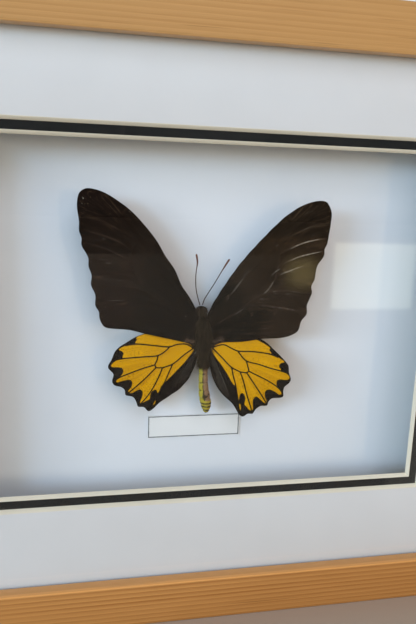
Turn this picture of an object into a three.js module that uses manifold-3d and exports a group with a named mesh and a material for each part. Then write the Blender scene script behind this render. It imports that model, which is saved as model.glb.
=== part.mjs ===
// A large butterfly, set with its wings open, in a deep wooden case with a double mat and a glass front.
// Millimetres, +X right, +Y from the glass towards the wall, +Z up.
// The origin is at the middle of the bottom face of the case.
import * as THREE from 'three';
import { mergeVertices } from 'three/addons/utils/BufferGeometryUtils.js';
import Module from 'manifold-3d';

const wasm = await Module();
wasm.setup();

// Case frame: four mitred rails with a rabbet for the glass and boards
const sightWidth = 274.5;
const sightHeight = 224.5;
const railWidth = 19.5;
const caseDepth = 42;
const lipThickness = 6.6;
const rabbetWidth = 6.5;
const railEdgeChamfer = 0.5;
const mitreGap = 0.1;

// Flat pieces stacked in the rabbet, from the glass back to the panel
const layerGap = 0.1;
const packClearance = 0.5;
const glassThickness = 2;
const matThickness = 1.4;
const spacerDepth = 21.9;
const spacerWidth = 10;
const mountBoardThickness = 2;
const backPanelThickness = 3;

// Windows of the two mats, measured on their front faces, and how far the windows sit above centre
const lowerWindow = { width: 200, height: 150 };
const upperWindow = { width: 210, height: 160 };
const windowRise = 1.5;

// Label card under the specimen, placed from the middle of the windows
const labelSize = { width: 44, height: 11, thickness: 0.4 };
const labelPlace = { x: -0.4, z: -54.2 };

// Hardware on the back
const tabSize = { length: 11, width: 7, thickness: 0.6 };
const tabsAlongTop = 4;
const tabsAlongSide = 2;
const hangerSize = { width: 44, height: 9, thickness: 0.9, teeth: 13, toothDepth: 1.6 };
const hangerToothedWidth = 26.4;
const hangerShoulderHeight = 4.5;
const hangerDrop = 12;
const rivetSize = { radius: 2, thickness: 0.6, sides: 16 };
const rivetPlace = { fromMiddle: 17.6, fromEdge: 3.15 };

// Wings: each is a thin plate that rises from the body to its tip, towards the glass
const wingThickness = 0.4;
const wingRootDepth = 12.9;
const wingRise = { left: 0.075, right: 0.12 };
const hindwingDrop = 0.9;
const wingGridStep = 6;
const outlineStepsPerPoint = 3;
const bodyClearance = 0.35;

const outerHeight = sightHeight + 2 * railWidth;
const packWidth = sightWidth + 2 * rabbetWidth - 2 * packClearance;
const packHeight = sightHeight + 2 * rabbetWidth - 2 * packClearance;
const caseCentreZ = outerHeight / 2;
const windowCentreZ = caseCentreZ + windowRise;
const frontY = -caseDepth / 2;

// Y of the front face of each flat piece
const glassY = frontY + lipThickness + layerGap;
const upperMatY = glassY + glassThickness + layerGap;
const lowerMatY = upperMatY + matThickness + layerGap;
const spacerY = lowerMatY + matThickness + layerGap;
const mountBoardY = spacerY + spacerDepth + layerGap;
const backPanelY = mountBoardY + mountBoardThickness + layerGap;
const backHardwareY = backPanelY + backPanelThickness + layerGap;

// Outlines of the wings, seen from the glass: x to the right and z up, from the middle of the windows
const wingOutlines = {
  left_forewing: [
    [-1.6, 0.4], [-4.1, 5.6], [-6.7, 10.0], [-10.1, 14.8], [-13.1, 21.4], [-17.2, 27.1], [-21.0, 33.4],
    [-27.3, 41.1], [-32.6, 46.3], [-37.0, 49.5], [-42.6, 52.8], [-46.8, 54.2], [-50.5, 54.4], [-53.0, 52.7],
    [-54.0, 47.8], [-53.2, 41.2], [-53.2, 37.4], [-52.2, 34.3], [-52.3, 31.8], [-49.5, 26.3], [-49.5, 23.1],
    [-48.2, 19.1], [-48.5, 15.3], [-46.7, 10.9], [-46.7, 6.4], [-45.2, 3.7], [-45.0, 1.1], [-43.3, -2.5],
    [-41.7, -3.4], [-32.0, -4.5], [-26.3, -6.1], [-19.6, -7.8], [-14.4, -9.1], [-8.3, -10.7], [-2.6, -11.8],
  ],
  right_forewing: [
    [2.0, 1.0], [3.6, 5.4], [7.8, 13.0], [15.1, 24.2], [22.8, 33.7], [32.8, 44.4], [38.2, 48.6],
    [43.2, 51.3], [47.4, 52.4], [50.0, 52.5], [51.6, 51.9], [53.0, 49.7], [53.9, 45.7], [53.4, 40.1],
    [52.9, 34.7], [51.8, 31.6], [52.0, 29.4], [49.4, 24.9], [48.6, 21.6], [48.4, 18.4], [47.1, 15.1],
    [47.6, 12.2], [45.8, 7.0], [46.0, 3.3], [44.0, -0.1], [42.3, -5.1], [40.0, -7.0], [35.4, -8.3],
    [25.6, -9.2], [16.8, -10.6], [8.9, -11.0], [4.0, -12.0],
  ],
  left_hindwing: [
    [-2.4, -12.0], [-11.2, -7.7], [-21.5, -5.6], [-29.1, -7.8], [-35.5, -11.5], [-38.3, -14.0],
    [-39.7, -17.5], [-41.3, -20.8], [-38.9, -24.4], [-39.5, -27.2], [-38.5, -29.1], [-35.4, -30.2],
    [-34.0, -31.7], [-33.6, -33.9], [-30.4, -35.1], [-29.0, -37.1], [-28.1, -39.4], [-25.5, -40.0],
    [-23.4, -41.9], [-21.0, -40.8], [-17.6, -37.7], [-13.9, -35.5], [-8.3, -31.4], [-5.2, -27.4],
    [-2.9, -22.2], [-1.7, -16.6],
  ],
  right_hindwing: [
    [4.1, -12.4], [11.1, -9.4], [20.9, -7.4], [28.3, -10.4], [32.0, -13.6], [38.0, -19.4], [39.7, -21.7],
    [39.9, -24.6], [41.2, -28.1], [40.6, -29.6], [38.4, -31.5], [38.0, -33.8], [38.0, -36.1], [36.7, -36.8],
    [32.9, -37.3], [31.6, -38.8], [30.7, -40.5], [27.8, -40.9], [26.1, -42.3], [24.4, -44.5], [22.1, -44.7],
    [20.0, -46.1], [18.4, -45.3], [15.1, -40.1], [10.7, -36.0], [7.3, -31.5], [4.7, -25.2], [3.5, -17.6],
  ],
};

// Body sections from the head down: x and z from the middle of the windows, depth of the centre behind
// the lower mat's face, half width across and half thickness front to back
const bodySections = [
  { z: 5.4, x: -0.6, depth: 14.2, across: 0.5, thick: 0.6 },
  { z: 5.0, x: -0.6, depth: 14.2, across: 1.3, thick: 1.4 },
  { z: 3.9, x: -0.5, depth: 14.3, across: 1.9, thick: 1.9 },
  { z: 2.5, x: -0.4, depth: 14.4, across: 1.9, thick: 1.9 },
  { z: 1.4, x: -0.1, depth: 14.7, across: 1.4, thick: 1.6 },
  { z: 0.2, x: 0.1, depth: 15.0, across: 2.5, thick: 2.6 },
  { z: -2.0, x: 0.3, depth: 15.4, across: 3.6, thick: 3.7 },
  { z: -6.0, x: 0.7, depth: 15.6, across: 4.0, thick: 4.3 },
  { z: -11.0, x: 1.0, depth: 15.5, across: 3.8, thick: 4.2 },
  { z: -15.0, x: 1.2, depth: 15.2, across: 3.0, thick: 3.4 },
  { z: -18.0, x: 1.4, depth: 15.0, across: 2.0, thick: 2.4 },
  { z: -21.0, x: 1.4, depth: 15.0, across: 1.9, thick: 2.2 },
  { z: -26.0, x: 1.5, depth: 15.1, across: 1.9, thick: 2.2 },
  { z: -32.0, x: 1.8, depth: 15.2, across: 2.1, thick: 2.3 },
  { z: -37.5, x: 2.6, depth: 15.3, across: 2.5, thick: 2.5 },
  { z: -41.0, x: 3.3, depth: 15.4, across: 2.3, thick: 2.3 },
  { z: -43.6, x: 3.4, depth: 15.4, across: 1.5, thick: 1.6 },
  { z: -45.2, x: 3.4, depth: 15.4, across: 0.6, thick: 0.7 },
];
const bodySides = 16;

// Antennae from the head to the tip: x, z and depth as for the body
const antennaRoutes = {
  left_antenna: [
    [-1.5, 5.9, 13.4], [-2.4, 8.6, 13.0], [-3.4, 12.2, 12.6], [-3.9, 16.3, 12.3], [-3.9, 20.4, 12.0],
    [-3.5, 25.0, 11.8], [-4.1, 28.4, 11.7],
  ],
  right_antenna: [
    [-0.3, 5.9, 13.4], [0.4, 8.4, 13.0], [2.0, 11.4, 12.6], [4.3, 15.3, 12.3], [7.1, 20.4, 12.0],
    [9.1, 23.9, 11.8], [10.6, 26.4, 11.7],
  ],
};
const antennaSides = 6;
const antennaSteps = 16;
const antennaRadius = 0.22;
const clubRadius = 0.42;
const clubStart = 0.75;
const clubSwellTurn = Math.PI / 1.6;

// Foam block under the thorax, its middle placed as for the body
const padSize = { width: 5, height: 9 };
const padPlace = { x: 0.9, z: -7.5 };
const padTopDepth = 20.1;

const finishes = {
  pine: { color: 0xb98a52, roughness: 0.55, metalness: 0 },
  glass: { color: 0xf4faf8, roughness: 0.05, metalness: 0, transparent: true, opacity: 0.25 },
  whiteBoard: { color: 0xd6d8da, roughness: 0.9, metalness: 0 },
  blackBoard: { color: 0x2b2c2b, roughness: 0.9, metalness: 0 },
  foamBoard: { color: 0xe6e6e2, roughness: 0.95, metalness: 0 },
  paleBoard: { color: 0xcdd5dc, roughness: 0.9, metalness: 0 },
  hardboard: { color: 0x6f4a2c, roughness: 0.75, metalness: 0 },
  steel: { color: 0xb4b6b8, roughness: 0.35, metalness: 1 },
  card: { color: 0xdfe2e4, roughness: 0.85, metalness: 0 },
  furryBrown: { color: 0x2f261e, roughness: 0.95, metalness: 0 },
  darkWing: { color: 0x2d241d, roughness: 0.85, metalness: 0 },
  goldWing: { color: 0xd59a12, roughness: 0.8, metalness: 0 },
};

const part = new THREE.Group();

/** Adds one named piece to the part, with a material of its own. */
function addPiece(name, geometry, finish) {
  const mesh = new THREE.Mesh(geometry, new THREE.MeshStandardMaterial(finish));
  mesh.name = name;
  part.add(mesh);
  return mesh;
}

/** A geometry from corner points and triangles that index them. */
function indexedGeometry(points, triangles) {
  const geometry = new THREE.BufferGeometry();
  geometry.setAttribute('position', new THREE.Float32BufferAttribute(points.flat(), 3));
  geometry.setIndex(triangles.flat());
  return geometry;
}

/** The solid of a closed geometry, for cutting. */
function solidOf(geometry) {
  const bare = geometry.clone();
  bare.deleteAttribute('normal');
  bare.deleteAttribute('uv');
  const merged = mergeVertices(bare, 1e-4);
  const vertProperties = new Float32Array(merged.attributes.position.array);
  const triVerts = new Uint32Array(merged.index.array);
  return new wasm.Manifold(new wasm.Mesh({ numProp: 3, vertProperties, triVerts }));
}

/** The geometry of a solid. */
function geometryOf(solid) {
  const mesh = solid.getMesh();
  const geometry = new THREE.BufferGeometry();
  geometry.setAttribute('position', new THREE.Float32BufferAttribute(mesh.vertProperties, 3));
  geometry.setIndex(new THREE.Uint32BufferAttribute(mesh.triVerts, 1));
  return geometry;
}

/** The largest of the separate bodies in a solid. */
function largestBody(solid) {
  const bodies = solid.decompose();
  bodies.sort((a, b) => b.volume() - a.volume());
  return bodies[0];
}

/** Depth behind the lower mat's face, as a Y of the part. */
function depthToY(depth) {
  return lowerMatY + depth;
}

/** A flat rectangular board: its front face is at y, its middle at x and z. */
function board(width, height, thickness, x, y, z) {
  const geometry = new THREE.BoxGeometry(width, thickness, height);
  geometry.translate(x, y + thickness / 2, z);
  return geometry;
}

/** Section of a rail: across from the sight edge outwards, and back from the front face. */
function railSection() {
  const c = railEdgeChamfer;
  return [
    [0, c], [c, 0], [railWidth - c, 0], [railWidth, c], [railWidth, caseDepth - c], [railWidth - c, caseDepth],
    [rabbetWidth, caseDepth], [rabbetWidth, lipThickness], [0, lipThickness],
  ];
}

/** One mitred rail along X, with its sight edge on the line z = 0 and its outer edge above it. */
function mitredRail(sightLength) {
  const section = railSection();
  const corners = section.length;
  const points = [];
  for (const side of [-1, 1]) {
    for (const [across, back] of section) {
      const halfLength = sightLength / 2 + across - mitreGap / 2;
      points.push([side * halfLength, frontY + back, across]);
    }
  }
  const triangles = [];
  for (let i = 0; i < corners; i += 1) {
    const next = (i + 1) % corners;
    triangles.push([i, corners + i, next], [next, corners + i, corners + next]);
  }
  const flat = section.map(([across, back]) => new THREE.Vector2(across, back));
  for (const [a, b, c] of THREE.ShapeUtils.triangulateShape(flat, [])) {
    triangles.push([a, b, c], [corners + a, corners + c, corners + b]);
  }
  return indexedGeometry(points, triangles);
}

/** A board with a window whose cut slopes at 45 degrees, so that the window is wider in front. */
function matBoard(window, y) {
  const backY = y + matThickness;
  const narrowing = 2 * matThickness;
  const rings = [
    { width: packWidth, height: packHeight, y, z: caseCentreZ },
    { width: window.width, height: window.height, y, z: windowCentreZ },
    { width: window.width - narrowing, height: window.height - narrowing, y: backY, z: windowCentreZ },
    { width: packWidth, height: packHeight, y: backY, z: caseCentreZ },
  ];
  const points = [];
  for (const ring of rings) {
    for (const [sx, sz] of [[-1, -1], [1, -1], [1, 1], [-1, 1]]) {
      points.push([sx * ring.width / 2, ring.y, ring.z + sz * ring.height / 2]);
    }
  }
  const triangles = [];
  for (let ring = 0; ring < rings.length; ring += 1) {
    const nextRing = (ring + 1) % rings.length;
    for (let corner = 0; corner < 4; corner += 1) {
      const nextCorner = (corner + 1) % 4;
      const a = ring * 4 + corner;
      const b = ring * 4 + nextCorner;
      const c = nextRing * 4 + corner;
      const d = nextRing * 4 + nextCorner;
      triangles.push([a, b, c], [b, d, c]);
    }
  }
  return indexedGeometry(points, triangles);
}

/** A closed body through elliptic sections, each level in Z, from the highest down. */
function lofted(sections, sides) {
  const points = [];
  for (const { x, y, z, across, thick } of sections) {
    for (let i = 0; i < sides; i += 1) {
      const turn = (2 * Math.PI * i) / sides;
      points.push([x + across * Math.cos(turn), y + thick * Math.sin(turn), z]);
    }
  }
  const triangles = [];
  for (let ring = 0; ring < sections.length - 1; ring += 1) {
    for (let i = 0; i < sides; i += 1) {
      const next = (i + 1) % sides;
      const a = ring * sides + i;
      const b = ring * sides + next;
      const c = a + sides;
      const d = b + sides;
      triangles.push([a, c, b], [b, c, d]);
    }
  }
  const last = (sections.length - 1) * sides;
  for (let i = 1; i < sides - 1; i += 1) {
    triangles.push([0, i, i + 1], [last, last + i + 1, last + i]);
  }
  return indexedGeometry(points, triangles);
}

/** The body of the insect, made larger all round by a margin. */
function bodyGeometry(margin) {
  const sections = bodySections.map((section) => ({
    x: section.x,
    y: depthToY(section.depth),
    z: windowCentreZ + section.z,
    across: section.across + margin,
    thick: section.thick + margin,
  }));
  return lofted(sections, bodySides);
}

/** Y of the middle of a wing at a place in its outline. */
function wingY(side, drop, x) {
  return depthToY(wingRootDepth + drop - wingRise[side] * Math.abs(x));
}

/** A wing: a thin sloping sheet, cut to the wing's outline and clear of the body. */
function wingGeometry(name, bodySolid) {
  const side = name.startsWith('left') ? 'left' : 'right';
  const drop = name.endsWith('hindwing') ? hindwingDrop : 0;
  const corners = wingOutlines[name].map(([x, z]) => new THREE.Vector3(x, z, 0));
  const curve = new THREE.CatmullRomCurve3(corners, true, 'centripetal');
  const outline = curve.getPoints(corners.length * outlineStepsPerPoint).slice(0, -1);

  const box = new THREE.Box3().setFromPoints(outline).expandByScalar(1);
  const size = box.getSize(new THREE.Vector3());
  const middle = box.getCenter(new THREE.Vector3());
  const columns = Math.ceil(size.x / wingGridStep);
  const rows = Math.ceil(size.y / wingGridStep);
  const sheet = new THREE.BoxGeometry(size.x, wingThickness, size.y, columns, 1, rows);
  sheet.translate(middle.x, 0, windowCentreZ + middle.y);
  const position = sheet.attributes.position;
  for (let i = 0; i < position.count; i += 1) {
    position.setY(i, position.getY(i) + wingY(side, drop, position.getX(i)));
  }

  const flat = outline.map((point) => new THREE.Vector2(point.x, point.y));
  const cutter = new THREE.ExtrudeGeometry(new THREE.Shape(flat), { depth: caseDepth, bevelEnabled: false });
  cutter.rotateX(Math.PI / 2);
  cutter.translate(0, caseDepth / 2, windowCentreZ);
  const wing = solidOf(sheet).intersect(solidOf(cutter)).subtract(bodySolid);
  return geometryOf(largestBody(wing));
}

/** One antenna, thin along its shaft and thicker in its club. */
function antennaGeometry(name) {
  const route = antennaRoutes[name].map(([x, z, depth]) => new THREE.Vector3(x, depthToY(depth), z));
  const curve = new THREE.CatmullRomCurve3(route);
  const sections = [];
  for (let step = 0; step <= antennaSteps; step += 1) {
    const along = step / antennaSteps;
    const point = curve.getPoint(1 - along);
    const club = Math.max(0, (1 - along - clubStart) / (1 - clubStart));
    const radius = antennaRadius + (clubRadius - antennaRadius) * Math.sin(club * clubSwellTurn);
    sections.push({ x: point.x, y: point.y, z: windowCentreZ + point.z, across: radius, thick: radius });
  }
  return lofted(sections, antennaSides);
}

/** The sawtooth plate that hooks over a nail, teeth along its lower edge. */
function hangerGeometry() {
  const { width, height, thickness, teeth, toothDepth } = hangerSize;
  const toothWidth = hangerToothedWidth / teeth;
  const shape = new THREE.Shape();
  shape.moveTo(-width / 2, 0);
  shape.lineTo(-hangerToothedWidth / 2, 0);
  for (let tooth = 0; tooth < teeth; tooth += 1) {
    const start = -hangerToothedWidth / 2 + toothWidth * tooth;
    shape.lineTo(start + toothWidth / 2, toothDepth);
    shape.lineTo(start + toothWidth, 0);
  }
  shape.lineTo(width / 2, 0);
  shape.lineTo(width / 2, hangerShoulderHeight);
  shape.lineTo(hangerToothedWidth / 2, height);
  shape.lineTo(-hangerToothedWidth / 2, height);
  shape.lineTo(-width / 2, hangerShoulderHeight);
  const geometry = new THREE.ExtrudeGeometry(shape, { depth: thickness, bevelEnabled: false });
  geometry.rotateX(Math.PI / 2);
  geometry.translate(0, backHardwareY + thickness, outerHeight - railWidth - hangerDrop);
  return geometry;
}

/** Four rails, each turned about the middle of the case. */
function addRails() {
  const rails = [
    { name: 'top_rail', length: sightWidth, reach: sightHeight / 2, turn: 0 },
    { name: 'right_rail', length: sightHeight, reach: sightWidth / 2, turn: Math.PI / 2 },
    { name: 'bottom_rail', length: sightWidth, reach: sightHeight / 2, turn: Math.PI },
    { name: 'left_rail', length: sightHeight, reach: sightWidth / 2, turn: -Math.PI / 2 },
  ];
  for (const rail of rails) {
    const geometry = mitredRail(rail.length);
    geometry.translate(0, 0, rail.reach);
    geometry.rotateY(rail.turn);
    geometry.translate(0, 0, caseCentreZ);
    addPiece(rail.name, geometry, finishes.pine);
  }
}

/** Glass, mats, spacers, mount board and back panel, in the order in which they are laid in. */
function addBoards() {
  addPiece('glass_pane', board(packWidth, packHeight, glassThickness, 0, glassY, caseCentreZ), finishes.glass);
  addPiece('upper_mat', matBoard(upperWindow, upperMatY), finishes.whiteBoard);
  addPiece('lower_mat', matBoard(lowerWindow, lowerMatY), finishes.blackBoard);

  const sideHeight = packHeight - 2 * spacerWidth - 2 * layerGap;
  for (const [name, sign] of [['spacer_bottom', -1], ['spacer_top', 1]]) {
    const z = caseCentreZ + sign * (packHeight - spacerWidth) / 2;
    addPiece(name, board(packWidth, spacerWidth, spacerDepth, 0, spacerY, z), finishes.foamBoard);
  }
  for (const [name, sign] of [['spacer_left', -1], ['spacer_right', 1]]) {
    const x = sign * (packWidth - spacerWidth) / 2;
    addPiece(name, board(spacerWidth, sideHeight, spacerDepth, x, spacerY, caseCentreZ), finishes.foamBoard);
  }
  const mount = board(packWidth, packHeight, mountBoardThickness, 0, mountBoardY, caseCentreZ);
  addPiece('mount_board', mount, finishes.paleBoard);
  const back = board(packWidth, packHeight, backPanelThickness, 0, backPanelY, caseCentreZ);
  addPiece('back_panel', back, finishes.hardboard);
}

/** Retaining tabs round the back panel, and the hanger with its rivets. */
function addBackHardware() {
  const { length, width, thickness } = tabSize;
  const edgeX = sightWidth / 2 + rabbetWidth - layerGap - length / 2;
  const edgeZ = sightHeight / 2 + rabbetWidth - layerGap - length / 2;
  for (let i = 0; i < tabsAlongTop; i += 1) {
    const x = (sightWidth / tabsAlongTop) * (i - (tabsAlongTop - 1) / 2);
    for (const [edge, sign] of [['bottom', -1], ['top', 1]]) {
      const tab = board(width, length, thickness, x, backHardwareY, caseCentreZ + sign * edgeZ);
      addPiece(`tab_${edge}_${i + 1}`, tab, finishes.steel);
    }
  }
  for (let i = 0; i < tabsAlongSide; i += 1) {
    const z = caseCentreZ + (sightHeight / tabsAlongSide) * (i - (tabsAlongSide - 1) / 2);
    for (const [edge, sign] of [['left', -1], ['right', 1]]) {
      const tab = board(length, width, thickness, sign * edgeX, backHardwareY, z);
      addPiece(`tab_${edge}_${i + 1}`, tab, finishes.steel);
    }
  }

  addPiece('hanger', hangerGeometry(), finishes.steel);
  for (const [name, sign] of [['hanger_rivet_left', -1], ['hanger_rivet_right', 1]]) {
    const { radius, thickness: height, sides } = rivetSize;
    const rivet = new THREE.CylinderGeometry(radius, radius, height, sides);
    const y = backHardwareY + hangerSize.thickness + layerGap + height / 2;
    const z = outerHeight - railWidth - hangerDrop + rivetPlace.fromEdge;
    rivet.translate(sign * rivetPlace.fromMiddle, y, z);
    addPiece(name, rivet, finishes.steel);
  }
}

/** The card with the printed border. */
function addLabel() {
  const { width, height, thickness } = labelSize;
  const y = mountBoardY - layerGap - thickness;
  const label = board(width, height, thickness, labelPlace.x, y, windowCentreZ + labelPlace.z);
  addPiece('label_card', label, finishes.card);
}

/** The insect on its pad. */
function addButterfly() {
  const bodyAndRoom = solidOf(bodyGeometry(bodyClearance));
  addPiece('body', bodyGeometry(0), finishes.furryBrown);
  for (const name of Object.keys(wingOutlines)) {
    const finish = name.endsWith('hindwing') ? finishes.goldWing : finishes.darkWing;
    addPiece(name, wingGeometry(name, bodyAndRoom), finish);
  }
  for (const name of Object.keys(antennaRoutes)) {
    addPiece(name, antennaGeometry(name), finishes.furryBrown);
  }
  const padDepth = mountBoardY - layerGap - depthToY(padTopDepth);
  const pad = board(padSize.width, padSize.height, padDepth, padPlace.x, depthToY(padTopDepth), 0);
  pad.translate(0, 0, windowCentreZ + padPlace.z);
  addPiece('mounting_pad', pad, finishes.foamBoard);
}

addRails();
addBoards();
addBackHardware();
addLabel();
addButterfly();

export default part;
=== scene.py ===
"""A large butterfly set with open wings in a deep glazed pine case, with its floor, lights and camera.

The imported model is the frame: metres, +X right, +Y from the glass towards the wall, +Z up. The fields
below are in millimetres, and mm() turns them into metres where a mesh is made. Outlines on the specimen
are measured from the middle of the windows, x to the right and z up.
"""

import logging
import math
from dataclasses import dataclass, field, replace
from enum import Enum
from typing import Callable, Iterable, Sequence

import bmesh
import bpy
import numpy as np
from mathutils import Matrix, Vector


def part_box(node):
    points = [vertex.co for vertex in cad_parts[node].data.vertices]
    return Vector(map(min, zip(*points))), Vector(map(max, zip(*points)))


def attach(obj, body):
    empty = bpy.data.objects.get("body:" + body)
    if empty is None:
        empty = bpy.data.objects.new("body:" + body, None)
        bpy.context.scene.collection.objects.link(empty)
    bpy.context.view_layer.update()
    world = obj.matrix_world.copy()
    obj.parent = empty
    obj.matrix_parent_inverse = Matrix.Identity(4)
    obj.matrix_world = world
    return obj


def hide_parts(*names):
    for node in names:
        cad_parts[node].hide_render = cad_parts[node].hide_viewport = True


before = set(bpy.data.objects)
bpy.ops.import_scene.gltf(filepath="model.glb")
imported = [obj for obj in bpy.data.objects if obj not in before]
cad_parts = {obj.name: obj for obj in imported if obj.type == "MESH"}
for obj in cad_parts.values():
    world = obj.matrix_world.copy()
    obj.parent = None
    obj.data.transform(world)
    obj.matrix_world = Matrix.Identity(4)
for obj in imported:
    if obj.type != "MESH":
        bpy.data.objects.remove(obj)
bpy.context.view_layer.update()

log = logging.getLogger("butterfly_case")

Point = tuple[float, float]
Colour = tuple[float, float, float]
Test = Callable[[bmesh.types.BMFace], bool]

SEED = 41
WELD = 1e-6


def mm(*values: float) -> tuple[float, ...]:
    """Millimetres as metres."""
    return tuple(value * 0.001 for value in values)


def srgb(red: float, green: float, blue: float) -> Colour:
    """A screen colour, 0 to 255 each, as the linear colour that a shader takes.

    Args:
        red: red share.
        green: green share.
        blue: blue share.

    Returns:
        The linear colour.
    """
    def linear(value: float) -> float:
        """One linear share."""
        share = value / 255
        return share / 12.92 if share <= 0.04045 else ((share + 0.055) / 1.055) ** 2.4
    return linear(red), linear(green), linear(blue)


def tinted(colour: Colour, share: float) -> Colour:
    """A colour made lighter or darker."""
    return tuple(value * share for value in colour)


def node_name(node: str) -> str:
    """The name of the piece that stands for a node."""
    return f"shown_{node}"


# Sizes of the case, as the frame has them


@dataclass(frozen=True)
class CaseSizes:
    """Sizes that several sub-assemblies share."""
    sight_width: float = 274.5
    sight_height: float = 224.5
    rail_width: float = 19.5
    depth: float = 42.0
    lip: float = 6.6
    rabbet: float = 6.5
    gap: float = 0.1
    pack_clearance: float = 0.5
    glass: float = 2.0
    mat: float = 1.4
    spacer_depth: float = 21.9
    window_rise: float = 1.5

    @property
    def centre_z(self) -> float:
        """Height of the middle of the case."""
        return self.sight_height / 2 + self.rail_width

    @property
    def window_z(self) -> float:
        """Height of the middle of the windows."""
        return self.centre_z + self.window_rise

    @property
    def front(self) -> float:
        """Y of the front of the case."""
        return -self.depth / 2

    @property
    def pack(self) -> Point:
        """Width and height of the glass and the boards."""
        spare = 2 * (self.rabbet - self.pack_clearance)
        return self.sight_width + spare, self.sight_height + spare

    @property
    def upper_mat_y(self) -> float:
        """Y of the face of the upper mat."""
        return self.front + self.lip + self.glass + 2 * self.gap

    @property
    def lower_mat_y(self) -> float:
        """Y of the face of the lower mat, from which depths on the specimen are measured."""
        return self.upper_mat_y + self.mat + self.gap

    @property
    def mount_y(self) -> float:
        """Y of the face of the mount board."""
        return self.lower_mat_y + self.mat + self.spacer_depth + 2 * self.gap


CASE = CaseSizes()


# Nodes of a material, and the finishes


class Nodes:
    """Adds and joins the nodes of one material."""

    def __init__(self, name: str) -> None:
        """Starts a material with a Principled shader.

        Args:
            name: name of the material.
        """
        self.material = bpy.data.materials.new(name)
        self.material.use_nodes = True
        self.tree = self.material.node_tree
        self.shader = self.tree.nodes["Principled BSDF"]
        self.output = self.tree.nodes["Material Output"]

    def feed(self, socket: bpy.types.NodeSocket, value: object) -> None:
        """Joins another socket to this one, or sets its value.

        Args:
            socket: the input.
            value: the socket or value that it gets.
        """
        if isinstance(value, bpy.types.NodeSocket):
            self.tree.links.new(value, socket)
        elif isinstance(value, tuple) and len(value) == 3 and socket.type == "RGBA":
            socket.default_value = (*value, 1.0)
        else:
            socket.default_value = value

    def add(self, kind: str, inputs: dict | None = None, **settings: object) -> bpy.types.Node:
        """Adds a node.

        Args:
            kind: its Blender type.
            inputs: values or sockets for its inputs, by name or number.
            **settings: its properties.

        Returns:
            The node.
        """
        node = self.tree.nodes.new(kind)
        for key, value in settings.items():
            setattr(node, key, value)
        for key, value in (inputs or {}).items():
            self.feed(node.inputs[key], value)
        return node

    def shade(self, **values: object) -> None:
        """Sets inputs of the shader, an underscore for each space in a name."""
        for key, value in values.items():
            self.feed(self.shader.inputs[key.replace("_", " ")], value)

    def place(self) -> bpy.types.NodeSocket:
        """Object coordinates."""
        return self.add("ShaderNodeTexCoord").outputs["Object"]

    def stretched(self, vector: bpy.types.NodeSocket, scale: Sequence[float]) -> bpy.types.NodeSocket:
        """A vector scaled along each axis."""
        return self.add("ShaderNodeMapping", {"Vector": vector, "Scale": scale}).outputs["Vector"]

    def noise(self, vector: bpy.types.NodeSocket, scale: float, detail: float = 2.0,
              roughness: float = 0.5) -> bpy.types.NodeSocket:
        """Noise from 0 to 1."""
        inputs = {"Vector": vector, "Scale": scale, "Detail": detail, "Roughness": roughness}
        return self.add("ShaderNodeTexNoise", inputs).outputs["Fac"]

    def sum(self, operation: str, *values: object) -> bpy.types.NodeSocket:
        """The result of a Math node."""
        return self.add("ShaderNodeMath", dict(enumerate(values)), operation=operation).outputs[0]

    def vector_sum(self, operation: str, *values: object) -> bpy.types.NodeSocket:
        """The vector that a Vector Math node gives."""
        return self.add("ShaderNodeVectorMath", dict(enumerate(values)), operation=operation).outputs[0]

    def step(self, value: object, low: float, high: float, to_low: float = 0.0,
             to_high: float = 1.0) -> bpy.types.NodeSocket:
        """A smooth step from one value to another, while the input goes from low to high.

        Args:
            value: the input.
            low: the input at which the step starts.
            high: the input at which it ends.
            to_low: the result before it.
            to_high: the result after it.

        Returns:
            The result.
        """
        node = self.add("ShaderNodeMapRange", {0: value, 1: low, 2: high, 3: to_low, 4: to_high},
                        interpolation_type="SMOOTHSTEP")
        return node.outputs[0]

    def mix(self, share: object, first: object, second: object) -> bpy.types.NodeSocket:
        """A colour between two."""
        node = self.add("ShaderNodeMix", {0: share, 6: first, 7: second}, data_type="RGBA")
        return node.outputs[2]

    def attribute(self, name: str) -> bpy.types.NodeSocket:
        """A number that the mesh carries."""
        return self.add("ShaderNodeAttribute", attribute_name=name).outputs["Fac"]

    def relief(self, height: object, distance: float) -> None:
        """Raises the surface by a height, which is 1 where it stands the given distance proud."""
        node = self.add("ShaderNodeBump", {"Height": height, "Distance": distance, "Strength": 1.0})
        self.shade(Normal=node.outputs["Normal"])


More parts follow.
